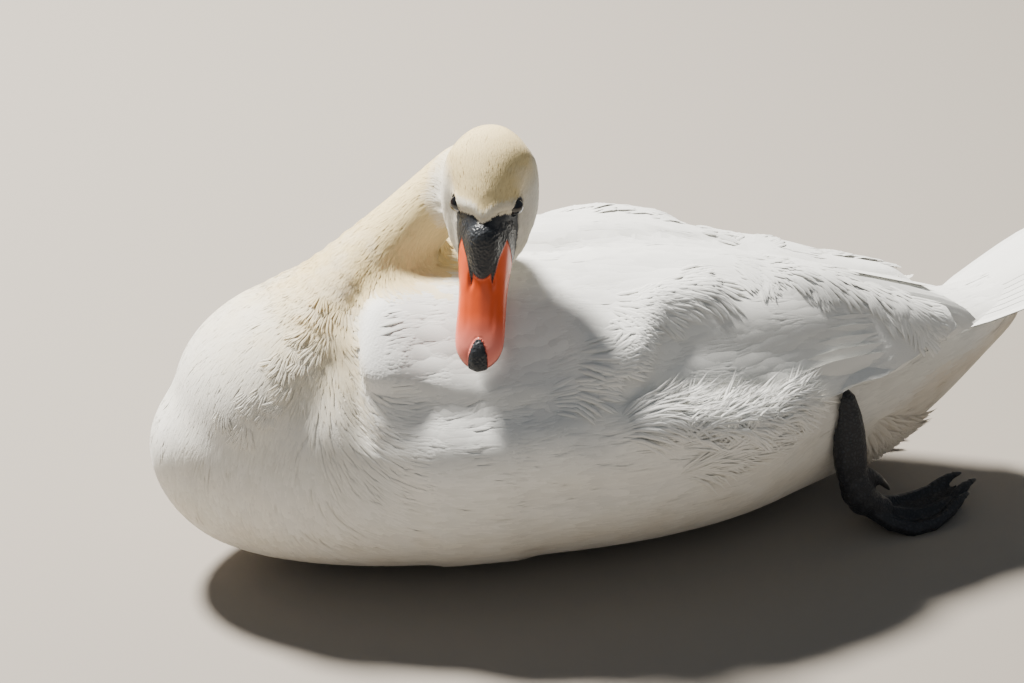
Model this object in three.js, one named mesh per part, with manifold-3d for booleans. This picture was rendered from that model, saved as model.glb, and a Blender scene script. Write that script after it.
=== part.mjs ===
// A life-size mute swan resting on its belly. Its neck is folded back, and its bill lies on the left wing.
// Millimetres, +Z up and the floor at z = 0. The breast points to -X, and the swan's left side to -Y.
import * as THREE from "three";
import { mergeVertices } from "three/addons/utils/BufferGeometryUtils.js";
import Module from "manifold-3d";

const wasm = await Module();
wasm.setup();

// ---- Driving dimensions ----

const gap = 0.3; // clearance between pieces that touch
const degrees = Math.PI / 180;
const sideOf = { left: -1, right: 1 };

// Stations of the trunk: x, half width, rise above the widest line, drop below it, height of that line.
const trunk = {
  start: -291,
  end: 430,
  fullness: { above: 0.94, below: 1 },
  rings: 20,
  sides: 22,
  stations: [
    [-262, 56, 52, 68, 112],
    [-200, 100, 88, 96, 110],
    [-100, 134, 128, 112, 112],
    [0, 148, 122, 118, 116],
    [100, 147, 120, 118, 116],
    [200, 116, 102, 109, 114],
    [250, 78, 88, 101, 112],
    [300, 60, 64, 86, 112],
    [350, 46, 40, 62, 124],
    [400, 32, 20, 32, 147],
  ],
};

// The rounder form that the folded wings give the back, in the same terms.
const cloak = {
  ...trunk,
  fullness: { above: 1.02, below: 1 },
  stations: [
    [-200, 108, 108, 94, 108],
    [-100, 138, 140, 112, 112],
    [-54, 143, 128, 116, 114],
    [0, 148, 129, 118, 116],
    [100, 148, 124, 118, 116],
    [200, 126, 111, 112, 116],
    [250, 107, 92, 104, 122],
    [300, 88, 68, 88, 130],
    [350, 68, 46, 62, 140],
    [400, 46, 20, 32, 147],
  ],
};

// Layers on it: x, half span and middle of the span in degrees round it, half thickness.
const wing = {
  start: -148,
  end: 345,
  edge: 0.45,
  rings: 16,
  sides: 12,
  slack: { left: 1, right: 1.15 }, // the left shoulder lies flatter, under the neck and bill
  droop: { left: 0, right: 15, from: 104, to: 190 }, // how far the back of a wing hangs, and where that starts
  stations: [
    [-140, 24, 54, 12],
    [-100, 28, 57, 15],
    [-60, 30, 58, 15],
    [0, 31, 58, 13],
    [100, 32, 57, 12],
    [160, 35, 54, 12],
    [200, 38, 49, 12],
    [240, 40, 47, 11],
    [290, 36, 53, 9],
    [335, 32, 55, 6],
  ],
};
const flank = {
  start: -110,
  end: 234,
  edge: 0.6,
  rings: 12,
  sides: 10,
  stations: [
    [-60, 9, 10, 3],
    [20, 15, 17, 8],
    [100, 19, 18, 11],
    [170, 20, 15, 14],
    [210, 15, 9, 13],
    [226, 9, 3, 9],
  ],
};

// Long feathers of the folded wing: root x and degrees, tip x and degrees, half width, half thickness, lift.
const quills = [
  [190, 20, 300, 19, 15, 3, 6],
  [200, 30, 336, 26, 17, 3, 6],
  [210, 42, 368, 28, 16, 3, 6],
  [220, 54, 352, 48, 16, 3, 6],
  [200, 68, 340, 68, 16, 3, 6],
];

// Neck: x, y, z, half width across the swan, half depth along it.
const neckLine = [
  [-186, 0, 30, 78, 84],
  [-190, 0, 76, 97, 98],
  [-192, 0, 118, 102, 99],
  [-181, 0, 154, 96, 92],
  [-160, 0, 188, 78, 68],
  [-138, 0, 215, 54, 47],
  [-110, 4, 246, 37, 36],
  [-78, 8, 274, 32, 32],
  [-50, 8, 301, 32, 32],
  [-34, -2, 325, 33, 32],
  [-28, -24, 332, 29, 28],
];
const neckParting = { at: [-150, 198], tilt: 42 }; // x and z, and its slope in degrees

// The head has its own frame: +X along the bill, +Z to the crown, and the origin between the eyes.
const headPlace = { x: -30.6, y: -48.8, z: 325, pitch: 50 * degrees, heading: -111.4 * degrees };
const crown = {
  start: -49,
  end: 38,
  fullness: { above: 0.94, below: 0.94 },
  rings: 11,
  sides: 12,
  stations: [
    [-39, 23, 18, 20, 8],
    [-22, 34, 27, 30, 6],
    [0, 29, 30, 30, 3],
    [14, 25, 29, 26, 2],
    [26, 19, 26, 22, 1],
    [33, 13, 22, 16, 0],
  ],
};
const cheeks = {
  start: -42,
  end: 58,
  fullness: { above: 0.9, below: 0.94 },
  rings: 11,
  sides: 12,
  stations: [
    [-34, 28, 19, 24, 1],
    [-18, 37.5, 25, 31, -1],
    [0, 39.5, 21, 31, -6],
    [14, 38.5, 17, 27, -12],
    [28, 33.5, 13, 19, -18],
    [40, 27.5, 9, 13, -22],
    [50, 22, 6, 9, -24],
  ],
};
const billUpper = {
  start: 12,
  end: 135,
  fullness: { above: 0.78, below: 0.78 },
  rings: 13,
  sides: 12,
  stations: [
    [20, 22, 32, 2, -13],
    [34, 22, 31, 2, -13],
    [50, 21, 26, 2, -13],
    [66, 19.3, 19, 2, -13],
    [85, 18.6, 13.5, 2, -13],
    [105, 19, 10, 2, -13.5],
    [119, 18.6, 8, 3, -14],
    [128, 13.5, 5.5, 3.5, -15],
  ],
};
const billLower = {
  start: 16,
  end: 127,
  fullness: { above: 0.8, below: 0.8 },
  rings: 9,
  sides: 10,
  stations: [
    [26, 18, 4, 8, -20],
    [60, 16.5, 3.4, 5.5, -19],
    [100, 16, 2.6, 4, -18.6],
    [120, 11, 2, 3, -18.4],
  ],
};
const knob = {
  start: 26,
  end: 70,
  fullness: { above: 1, below: 1 },
  rings: 8,
  sides: 12,
  stations: [
    [35, 12.5, 14, 12, 12],
    [46, 13.5, 15, 12, 9],
    [60, 9.5, 9, 9, 4],
  ],
};
const nail = {
  start: 111,
  end: 136,
  fullness: { above: 0.9, below: 0.9 },
  rings: 6,
  sides: 8,
  stations: [
    [117, 4.5, 3.4, 3, -7],
    [124, 7.2, 4.2, 4, -9],
    [131, 5.6, 4, 6, -12.5],
  ],
};
const eye = { x: 14, y: 20.5, z: 9, radius: 6.5 };

// Tail: a fan of stiff feathers raised behind the wing tips.
const tail = {
  root: new THREE.Vector3(330, 0, 133),
  rise: 24 * degrees,
  feathers: 9,
  spread: 3 * degrees, // between one feather and the next
  step: 4, // between their roots
  longest: 212,
  shortest: 150,
  halfWidth: 14,
  narrowRoot: 0.45, // share of a feather's width at its root
  halfThickness: 2.2,
  roundness: 1.6, // how the feathers shorten towards the edges of the fan
  droop: 1.5, // each pair of feathers lies this much lower than the one inside it
  coverts: { length: 130, halfWidth: 38, halfThickness: 13, narrowing: 0.3, below: 3 },
};

// Legs: x, distance from the middle of the swan, z, half width, half depth.
const shank = [
  [244, 78, 140, 9, 15],
  [249, 82, 110, 8.5, 14],
  [252, 85, 82, 8, 13.5],
  [255, 85, 58, 9, 14],
  [264, 83, 31, 9.5, 13.5],
];
const legForward = { left: 0, right: 26 }; // the right leg is drawn up a little more
const spur = [
  [256, 84, 62, 5, 5],
  [270, 81, 55, 4.5, 4.5],
  [284, 78, 43, 3, 3.5],
];
const outerToe = [
  [260, 84, 34, 8, 9],
  [280, 91, 17, 6.5, 7],
  [306, 95, 5, 5.4, 6],
  [334, 90, 8, 5.2, 5.8],
  [354, 79, 18, 4.4, 4.8],
];
const middleToe = [
  [260, 82, 34, 8, 9],
  [284, 80, 18, 6.5, 7],
  [314, 78, 7, 5.6, 6],
  [344, 73, 11, 5.4, 5.8],
  [366, 62, 20, 4.6, 4.8],
];
const innerToe = [
  [260, 79, 34, 8, 9],
  [282, 68, 19, 6, 6.5],
  [308, 57, 9, 5, 5.6],
  [336, 51, 11, 5, 5.6],
  [358, 46, 19, 4.4, 4.8],
];
const toes = [outerToe, middleToe, innerToe];
const web = { halfThickness: 2, sag: 2.5, from: 0.04, to: 0.97 }; // from and to: shares of a toe's length
const claw = { length: 13, inToe: 4, droop: 4, tip: 0.8 };

// ---- Shaping tools ----

const power = (value, exponent) => Math.sign(value) * Math.abs(value) ** exponent;

// How far a round end has closed at x: 1 in the middle, 0 at both ends.
function closing(x, start, end) {
  const place = (2 * x - start - end) / (end - start);
  return Math.sqrt(Math.max(0, 1 - place ** 2));
}

// Sizes at any x, from stations [x, size, size, ...]. The first `round` sizes close to nothing at both ends.
function sizesAlong({ start, end, stations }, round) {
  const samples = stations.flatMap(([x, ...sizes]) =>
    sizes.map((size, i) => (i < round ? size / closing(x, start, end) : size)),
  );
  const places = stations.map(([x]) => x);
  const curve = new THREE.CubicInterpolant(places, samples, stations[0].length - 1);
  return (x) => {
    const within = THREE.MathUtils.clamp(x, places[0], places.at(-1));
    const close = closing(x, start, end);
    return Array.from(curve.evaluate(within), (size, i) => (i < round ? size * close : size));
  };
}

// A solid from a closed geometry, with its faces turned outwards.
function solidOf(geometry) {
  geometry.deleteAttribute("uv");
  geometry.deleteAttribute("normal");
  const merged = mergeVertices(geometry, 1e-4);
  const spots = merged.getAttribute("position").array;
  const corners = Uint32Array.from(merged.index.array);
  const [a, b, c] = [0, 1, 2].map(() => new THREE.Vector3());
  let volume = 0;
  for (let i = 0; i < corners.length; i += 3) {
    [a, b, c].forEach((corner, k) => corner.fromArray(spots, 3 * corners[i + k]));
    volume += a.dot(b.cross(c));
  }
  if (volume < 0) corners.reverse();
  return new wasm.Manifold(new wasm.Mesh({ numProp: 3, vertProperties: spots, triVerts: corners }));
}

const fine = 1e6; // rounding that makes the two edges of a ball's seam alike

// A ball whose every point is put elsewhere. place() gets the point, and its share of the way pole to pole.
function moulded({ rings, sides }, place) {
  const ball = new THREE.SphereGeometry(1, sides, rings);
  const spots = ball.getAttribute("position");
  const point = new THREE.Vector3();
  for (let i = 0; i < spots.count; i++) {
    point.fromBufferAttribute(spots, i).multiplyScalar(fine).round().divideScalar(fine);
    const placed = place(point, Math.acos(THREE.MathUtils.clamp(point.y, -1, 1)) / Math.PI);
    spots.setXYZ(i, placed.x, placed.y, placed.z);
  }
  return solidOf(ball);
}

// An egg-like body along x, made larger all round by `grow`.
function egg(shape, grow = 0) {
  const sizes = sizesAlong(shape, 3);
  return moulded(shape, (point) => {
    const x = THREE.MathUtils.mapLinear(-point.y, -1, 1, shape.start, shape.end);
    const [width, rise, drop, middle] = sizes(x);
    const round = Math.hypot(point.x, point.z) || 1;
    const [height, fullness] = point.z > 0 ? [rise, shape.fullness.above] : [drop, shape.fullness.below];
    return new THREE.Vector3(
      x - grow * point.y,
      power(point.x / round, fullness) * width + grow * point.x,
      middle + power(point.z / round, fullness) * height + grow * point.z,
    );
  });
}

// A tube through [x, y, z, half width, half depth] points, with round ends. `across` is the way of its width.
function tube({ points, across, rings, sides, grow = 0, blunt = 0.35 }) {
  const line = new THREE.CatmullRomCurve3(points.map(([x, y, z]) => new THREE.Vector3(x, y, z)));
  const sizes = new THREE.CatmullRomCurve3(points.map((p) => new THREE.Vector3(p[3], p[4], 0)));
  return moulded({ rings, sides }, (point, share) => {
    const centre = line.getPoint(share);
    const onward = line.getTangent(share);
    const { x: width, y: depth } = sizes.getPoint(share);
    const round = Math.hypot(point.x, point.z);
    const side = across.clone().addScaledVector(onward, -across.dot(onward)).normalize();
    const up = side.clone().cross(onward);
    const shut = round < 1e-6 ? 0 : round ** blunt / round;
    return centre
      .addScaledVector(onward, grow * -point.y)
      .addScaledVector(side, (width + grow) * point.x * shut)
      .addScaledVector(up, (depth + grow) * point.z * shut);
  });
}

function block(low, high) {
  const size = new THREE.Vector3().subVectors(high, low);
  const box = new THREE.BoxGeometry(size.x, size.y, size.z);
  box.translate((low.x + high.x) / 2, (low.y + high.y) / 2, (low.z + high.z) / 2);
  return solidOf(box);
}

const everywhere = 2000; // larger than the swan

// All of space between two levels of one axis.
function slab(axis, from, to) {
  const corners = [from, to].map((level, i) => {
    const corner = new THREE.Vector3().setScalar(i === 0 ? -everywhere : everywhere);
    corner[axis] = level;
    return corner;
  });
  return block(...corners);
}
const underFloor = slab("z", -everywhere, 0);

// ---- Trunk, and what lies on it ----

for (const hull of [trunk, cloak]) hull.sizes = sizesAlong(hull, 3);
const slimmest = 25; // the least rise of a hull by which widths on it become angles

// The point of a hull at x, `angle` above its widest line on one side of it, and `lift` off its surface.
function onHull(hull, x, angle, side, lift) {
  const [width, rise, drop, middle] = hull.sizes(x);
  const [height, fullness] = angle > 0 ? [rise, hull.fullness.above] : [drop, hull.fullness.below];
  const out = power(Math.cos(angle), fullness);
  const up = power(Math.sin(angle), fullness);
  const normal = new THREE.Vector2(out / width, up / height).normalize();
  return new THREE.Vector3(x, side * (out * width + lift * normal.x), middle + up * height + lift * normal.y);
}

function layer(hull, shape, side, grow = 0, slack = 1) {
  const sizes = sizesAlong(shape, 0);
  return moulded(shape, (point) => {
    const x = THREE.MathUtils.mapLinear(-point.y, -1, 1, shape.start, shape.end);
    const [span, middle, thickness] = sizes(x);
    const round = Math.hypot(point.x, point.z) || 1;
    const full = Math.sqrt(closing(x, shape.start, shape.end));
    const spread = grow / Math.max(hull.sizes(x)[1], slimmest);
    const angle = (middle + (full * span * point.x) / round) * degrees + (spread * point.x) / round;
    const lift = slack * thickness * full * power(point.z / round, shape.edge);
    return onHull(hull, x - grow * point.y, angle, side, lift + (grow * point.z) / round);
  });
}

// How far out a feather's edge lies at a point of the ball: rounder at the tips than the ball is.
const roundTipped = (point) => point.x / Math.max(Math.hypot(point.x, point.z), 1e-3) ** 0.6;

function quill([rootX, rootAngle, tipX, tipAngle, halfWidth, halfThickness, lift], side, grow = 0) {
  return moulded({ rings: 6, sides: 6 }, (point, share) => {
    const x = THREE.MathUtils.lerp(rootX, tipX, share);
    const middle = THREE.MathUtils.lerp(rootAngle, tipAngle, share) * degrees;
    const reach = Math.max(cloak.sizes(x)[1], slimmest);
    const angle = middle + ((halfWidth + grow) * roundTipped(point)) / reach;
    return onHull(cloak, x - grow * point.y, angle, side, lift + (halfThickness + grow) * point.z);
  });
}

const union = (solids) => solids.reduce((whole, solid) => whole.add(solid));

// Pieces that cross can shut in a sliver of air, so only the outer shell is kept.
const larger = (a, b) => (b.volume() > a.volume() ? b : a);
const filled = (solid) => solid.decompose().reduce(larger);

const wingSolid = (name, grow = 0) => {
  const side = sideOf[name];
  const shell = layer(cloak, wing, side, grow, wing.slack[name]);
  return filled(union([shell, ...quills.map((feather) => quill(feather, side, grow))]));
};

const neckSolid = (grow = 0) =>
  tube({ points: neckLine, across: new THREE.Vector3(0, 1, 0), rings: 20, sides: 18, grow });

// ---- Head ----

const headMatrix = new THREE.Matrix4().compose(
  new THREE.Vector3(headPlace.x, headPlace.y, headPlace.z),
  new THREE.Quaternion().setFromEuler(new THREE.Euler(0, headPlace.pitch, headPlace.heading, "ZYX")),
  new THREE.Vector3(1, 1, 1),
);
const inHead = (solid) => solid.transform(headMatrix.elements);

const eyeball = (side, grow = 0) =>
  moulded({ rings: 7, sides: 10 }, (point) =>
    new THREE.Vector3(eye.x, side * eye.y, eye.z).addScaledVector(point, eye.radius + grow),
  );

// ---- Tail ----

// A point of the tail: `along` and `across` in the plane of the fan, and `off` above it.
function inTail(along, across, off) {
  const { root, rise } = tail;
  return new THREE.Vector3(
    root.x + along * Math.cos(rise) - off * Math.sin(rise),
    root.y + across,
    root.z + along * Math.sin(rise) + off * Math.cos(rise),
  );
}

function tailFeather(place) {
  const rank = Math.abs(place) / ((tail.feathers - 1) / 2);
  const length = THREE.MathUtils.lerp(tail.longest, tail.shortest, rank ** tail.roundness);
  const heading = place * tail.spread;
  return moulded({ rings: 6, sides: 5 }, (point, share) => {
    const along = length * share;
    const wide = tail.halfWidth * Math.min(1, tail.narrowRoot + share) * roundTipped(point);
    return inTail(
      along * Math.cos(heading) - wide * Math.sin(heading),
      place * tail.step + along * Math.sin(heading) + wide * Math.cos(heading),
      tail.halfThickness * point.z - tail.droop * Math.abs(place) * THREE.MathUtils.lerp(0.4, 1, share),
    );
  });
}

function tailCoverts() {
  const { length, halfWidth, halfThickness, narrowing, below } = tail.coverts;
  return moulded({ rings: 7, sides: 10 }, (point, share) => {
    const slim = 1 - narrowing * share;
    return inTail(length * share, halfWidth * point.x * slim, halfThickness * point.z * slim - below);
  });
}

function tailSolid() {
  const middle = (tail.feathers - 1) / 2;
  const fan = Array.from({ length: tail.feathers }, (_, i) => tailFeather(i - middle));
  return union([tailCoverts(), ...fan]);
}

// ---- Legs and feet ----

const mirrored = (points, side) => points.map(([x, y, ...rest]) => [x, side * y, ...rest]);
const acrossSwan = new THREE.Vector3(0, 1, 0);

const legSolid = (side, grow = 0) =>
  union([
    tube({ points: mirrored(shank, side), across: acrossSwan, rings: 8, sides: 10, grow, blunt: 0.5 }),
    tube({ points: mirrored(spur, side), across: acrossSwan, rings: 5, sides: 6, grow, blunt: 0.5 }),
  ]);

function clawSolid(toe, side) {
  const [before, tip] = mirrored(toe.slice(-2), side).map(([x, y, z]) => new THREE.Vector3(x, y, z));
  const onward = tip.clone().sub(before).normalize();
  const [, , , width, depth] = toe.at(-1);
  const start = tip.clone().addScaledVector(onward, -claw.inToe);
  const middle = tip.clone().addScaledVector(onward, claw.length / 2);
  const end = tip.clone().addScaledVector(onward, claw.length);
  const points = [
    [start.x, start.y, start.z, width * 0.8, depth * 0.8],
    [middle.x, middle.y, middle.z, width * 0.6, depth * 0.6],
    [end.x, end.y, end.z - claw.droop, claw.tip, claw.tip],
  ];
  return tube({ points, across: acrossSwan, rings: 3, sides: 5, blunt: 0.8 });
}

// The web between two toes: a thin sheet that sags a little between them.
function webSolid(first, second, side) {
  const [a, b] = [first, second].map(
    (toe) => new THREE.CatmullRomCurve3(mirrored(toe, side).map(([x, y, z]) => new THREE.Vector3(x, y, z))),
  );
  return moulded({ rings: 6, sides: 6 }, (point, share) => {
    const reach = THREE.MathUtils.lerp(web.from, web.to, share);
    const across = (point.x / (Math.hypot(point.x, point.z) || 1) + 1) / 2;
    const spot = a.getPoint(reach).lerp(b.getPoint(reach), across);
    spot.z += web.halfThickness * point.z - web.sag * Math.sin(Math.PI * across) * share;
    return spot;
  });
}

function footSolid(side) {
  const rays = toes.map((toe) =>
    tube({ points: mirrored(toe, side), across: acrossSwan, rings: 6, sides: 5, blunt: 0.5 }),
  );
  const webs = [webSolid(toes[0], toes[1], side), webSolid(toes[1], toes[2], side)];
  return union([...rays, ...webs, ...toes.map((toe) => clawSolid(toe, side))]);
}

// ---- Fitting the pieces together ----

const skull = (grow = 0) => egg(crown, grow).add(egg(cheeks, grow));
const head = inHead(skull());
const headRoom = inHead(skull(gap));
const bill = inHead(egg(billUpper).add(egg(knob)).add(egg(nail)));
const billRoom = inHead(egg(billUpper, gap).add(egg(knob, gap)).add(egg(nail, gap)));
const mandible = inHead(egg(billLower));
const eyes = { left: inHead(eyeball(1)), right: inHead(eyeball(-1)) };
const eyeRooms = inHead(eyeball(1, gap).add(eyeball(-1, gap)));

const neck = neckSolid();
const neckRoom = neckSolid(gap);
const [partingX, partingZ] = neckParting.at;
const onNeckParting = (solid) => solid.rotate(0, neckParting.tilt, 0).translate(partingX, 0, partingZ);
const aboveParting = onNeckParting(slab("z", 0, everywhere));
const belowParting = onNeckParting(slab("z", -everywhere, -gap));

const wingParting = { left: slab("y", -gap / 2, everywhere), right: slab("y", -everywhere, gap / 2) };
const cut = (solid, rooms) => rooms.reduce((rest, room) => rest.subtract(room), solid);

const solids = {};
solids.head = head.subtract(billRoom).subtract(eyeRooms).subtract(neckRoom);
solids.bill_upper = bill;
solids.bill_lower = mandible.subtract(billRoom).subtract(headRoom);
solids.eye_left = eyes.left;
solids.eye_right = eyes.right;
solids.neck_lower = neck.intersect(belowParting).subtract(underFloor);
solids.neck_upper = neck.intersect(aboveParting);
// A wing whose back part hangs lower.
function hangingWing(name, grow = 0) {
  const { from, to, [name]: droop } = wing.droop;
  return wingSolid(name, grow).warp((point) => {
    point[2] -= droop * THREE.MathUtils.smoothstep(point[0], from, to);
  });
}
const wingRooms = Object.keys(sideOf).map((name) => hangingWing(name, gap));
for (const name of Object.keys(sideOf)) {
  solids[`wing_${name}`] = cut(hangingWing(name), [wingParting[name], neckRoom]);
}
const hull = (grow = 0) =>
  union([egg(trunk, grow), layer(trunk, flank, sideOf.left, grow), layer(trunk, flank, sideOf.right, grow)]);
const hullRoom = hull(gap);
solids.trunk = cut(hull(), [...wingRooms, neckRoom, underFloor]);
solids.tail = cut(tailSolid(), [hullRoom, ...wingRooms]);

const colours = {
  plumage: { color: 0xf2efe6, roughness: 0.85, metalness: 0 },
  cream: { color: 0xeee2c0, roughness: 0.85, metalness: 0 },
  orange: { color: 0xe2592c, roughness: 0.4, metalness: 0 },
  eye: { color: 0x14100d, roughness: 0.1, metalness: 0 },
  leg: { color: 0x23252c, roughness: 0.6, metalness: 0 },
};
const finishOf = {
  trunk: "plumage",
  wing_left: "plumage",
  wing_right: "plumage",
  tail: "plumage",
  neck_lower: "plumage",
  neck_upper: "cream",
  head: "cream",
  bill_upper: "orange",
  bill_lower: "orange",
  eye_left: "eye",
  eye_right: "eye",
};

for (const [name, side] of Object.entries(sideOf)) {
  const forward = [-legForward[name], 0, 0];
  const leg = legSolid(side).translate(forward);
  const foot = footSolid(side).subtract(legSolid(side, gap)).translate(forward);
  solids[`leg_${name}`] = leg.subtract(hullRoom).subtract(underFloor);
  solids[`foot_${name}`] = foot.subtract(underFloor);
  finishOf[`leg_${name}`] = "leg";
  finishOf[`foot_${name}`] = "leg";
}

const swan = new THREE.Group();
for (const [name, solid] of Object.entries(solids)) {
  const { vertProperties, triVerts } = solid.getMesh();
  const geometry = new THREE.BufferGeometry();
  geometry.setAttribute("position", new THREE.Float32BufferAttribute(vertProperties, 3));
  geometry.setIndex(Array.from(triVerts));
  const mesh = new THREE.Mesh(geometry, new THREE.MeshStandardMaterial(colours[finishOf[name]]));
  mesh.name = name;
  swan.add(mesh);
}

// The origin is on the floor, at the middle of the swan's box.
const box = new THREE.Box3().setFromObject(swan);
swan.position.set(-(box.min.x + box.max.x) / 2, -(box.min.y + box.max.y) / 2, -box.min.z);

export default swan;
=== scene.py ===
import math
import time

import bmesh
import bpy
import numpy as np
from mathutils import Matrix, Vector
from mathutils.bvhtree import BVHTree


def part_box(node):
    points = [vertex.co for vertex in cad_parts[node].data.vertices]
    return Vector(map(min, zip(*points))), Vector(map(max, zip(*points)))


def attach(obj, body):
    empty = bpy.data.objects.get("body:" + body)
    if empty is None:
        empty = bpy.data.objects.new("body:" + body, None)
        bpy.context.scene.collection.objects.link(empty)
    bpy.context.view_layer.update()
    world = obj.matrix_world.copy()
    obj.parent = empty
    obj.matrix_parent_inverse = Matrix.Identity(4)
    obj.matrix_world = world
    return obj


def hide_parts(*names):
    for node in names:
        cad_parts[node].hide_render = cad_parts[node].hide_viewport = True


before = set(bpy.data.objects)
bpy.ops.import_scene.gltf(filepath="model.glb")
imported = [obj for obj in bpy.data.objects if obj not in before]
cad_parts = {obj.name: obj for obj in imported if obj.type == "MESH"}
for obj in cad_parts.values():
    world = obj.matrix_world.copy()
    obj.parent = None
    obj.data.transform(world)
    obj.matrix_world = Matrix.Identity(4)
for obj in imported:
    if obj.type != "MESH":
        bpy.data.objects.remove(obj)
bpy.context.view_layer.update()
startTime = time.time()
mm = 0.001
randomness = np.random.default_rng(11)


def say(stage):
    print(f"{time.time() - startTime:6.1f} s  {stage}")


# the head has its own frame: x along the bill, y to the swan's left, z to the crown
headSettings = dict(pitch=50, heading=-111.4, eyeAhead=14 * mm, eyeAbove=9 * mm)
headTurn = (
    Matrix.Rotation(math.radians(headSettings["heading"]), 3, "Z")
    @ Matrix.Rotation(math.radians(headSettings["pitch"]), 3, "Y")
)


def middleOf(node):
    low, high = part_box(node)
    return (low + high) / 2


betweenEyes = (middleOf("eye_left") + middleOf("eye_right")) / 2
headOrigin = betweenEyes - headTurn @ Vector((headSettings["eyeAhead"], 0, headSettings["eyeAbove"]))
turnArray = np.array(headTurn)
originArray = np.array(headOrigin)
billAxis = turnArray[:, 0]


def toHead(points):
    return (points - originArray) @ turnArray


def fromHead(points):
    return points @ turnArray.T + originArray


def unit(vectors):
    return vectors / np.maximum(np.linalg.norm(vectors, axis=-1, keepdims=True), 1e-12)


def ramp(values, start, end):
    share = np.clip((values - start) / (end - start), 0, 1)
    return share * share * (3 - 2 * share)


# shapes and meshes


def vertexArray(mesh):
    points = np.empty(len(mesh.vertices) * 3, np.float32)
    mesh.vertices.foreach_get("co", points)
    return points.reshape(-1, 3).astype(float)


def normalArray(mesh):
    normals = np.empty(len(mesh.vertices) * 3, np.float32)
    mesh.vertex_normals.foreach_get("vector", normals)
    return normals.reshape(-1, 3).astype(float)


def setVertices(mesh, points):
    mesh.vertices.foreach_set("co", points.astype(np.float32).ravel())
    mesh.update()


def edgeArray(mesh):
    edges = np.empty(len(mesh.edges) * 2, np.int32)
    mesh.edges.foreach_get("vertices", edges)
    return edges.reshape(-1, 2)


def spread(values, edges, rounds, share=0.5):
    # each vertex moves towards the mean of its neighbours
    count = np.bincount(edges.ravel(), minlength=len(values))[:, None]
    for _ in range(rounds):
        total = np.empty_like(values)
        for axis in range(values.shape[1]):
            total[:, axis] = np.bincount(
                edges[:, 0], values[edges[:, 1], axis], len(values)
            ) + np.bincount(edges[:, 1], values[edges[:, 0], axis], len(values))
        values = values + share * (total / np.maximum(count, 1) - values)
    return values


def newObject(name, mesh, smooth=True):
    thing = bpy.data.objects.new(name, mesh)
    bpy.context.scene.collection.objects.link(thing)
    if smooth:
        mesh.shade_smooth()
    return thing


def applied(thing):
    # the mesh with its modifiers applied
    graph = bpy.context.evaluated_depsgraph_get()
    mesh = bpy.data.meshes.new_from_object(thing.evaluated_get(graph))
    thing.modifiers.clear()
    old = thing.data
    thing.data = mesh
    bpy.data.meshes.remove(old)
    return thing


def moulded(name, nodes, puff, voxel, cuts=(), levels=2, balls=()):
    # one closed form from copies of CAD nodes: rounded, puffed so that they meet, and remeshed
    form = bmesh.new()
    for node in nodes:
        piece = bmesh.new()
        piece.from_mesh(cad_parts[node].data)
        bmesh.ops.remove_doubles(piece, verts=piece.verts, dist=1e-5)
        for spot, facing in cuts:
            if node in ("bill_upper", "bill_lower"):
                everything = piece.verts[:] + piece.edges[:] + piece.faces[:]
                cut = bmesh.ops.bisect_plane(
                    piece, geom=everything, plane_co=spot, plane_no=facing, clear_outer=True
                )
                rim = [e for e in cut["geom_cut"] if isinstance(e, bmesh.types.BMEdge)]
                bmesh.ops.holes_fill(piece, edges=rim)
        mesh = bpy.data.meshes.new(node + "_copy")
        piece.to_mesh(mesh)
        piece.free()
        form.from_mesh(mesh)
        bpy.data.meshes.remove(mesh)
    for spot, radius in balls:  # joints that the CAD leaves sharp
        bmesh.ops.create_icosphere(form, subdivisions=3, radius=radius, matrix=Matrix.Translation(spot))
    mesh = bpy.data.meshes.new(name)
    form.to_mesh(mesh)
    form.free()
    thing = newObject(name, mesh, smooth=False)
    rounding = thing.modifiers.new("rounding", "SUBSURF")
    rounding.levels = rounding.render_levels = levels
    puffing = thing.modifiers.new("puffing", "DISPLACE")
    puffing.mid_level = 0
    puffing.strength = puff
    remesh = thing.modifiers.new("remesh", "REMESH")
    remesh.mode = "VOXEL"
    remesh.voxel_size = voxel
    return applied(thing)


# the skin

skinSettings = dict(
    puff=4 * mm,
    voxel=4 * mm,
    billLeft=66 * mm,  # the skin runs on inside the bill to here
    rounds=8,
    # balls on the bill's axis inside which the faces are finer: distance along it, and radius
    finer=[(0, 72 * mm), (22 * mm, 46 * mm)],
    wingEnds=(0.10, 0.15),  # the wings' skin is rounded off between these places along the body
)
fleshNodes = ["trunk", "neck_lower", "neck_upper", "head", "wing_left", "wing_right", "tail"]

cutSpot = headOrigin + headTurn @ Vector((skinSettings["billLeft"], 0, 0))
skin = moulded(
    "swan_skin",
    fleshNodes + ["bill_upper"],
    skinSettings["puff"],
    skinSettings["voxel"],
    cuts=[(cutSpot, headTurn @ Vector((1, 0, 0)))],
)
say(f"skin remeshed, {len(skin.data.vertices)} points")


def refine(thing, near):
    # finer faces inside each of the balls
    form = bmesh.new()
    form.from_mesh(thing.data)
    for ball, radius in near:
        edges = [e for e in form.edges if (e.verts[0].co - ball).length < radius]
        bmesh.ops.subdivide_edges(form, edges=edges, cuts=1, use_grid_fill=True, smooth=0.5)
    form.to_mesh(thing.data)
    form.free()


finer = skinSettings["finer"]
refine(skin, [(headOrigin + headTurn @ Vector((ahead, 0, 0)), radius) for ahead, radius in finer])
say(f"head refined, {len(skin.data.vertices)} points")

# how near each point of the skin is to each CAD node
graph = bpy.context.evaluated_depsgraph_get()
fleshTrees = {node: BVHTree.FromObject(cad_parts[node], graph) for node in fleshNodes}


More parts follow.
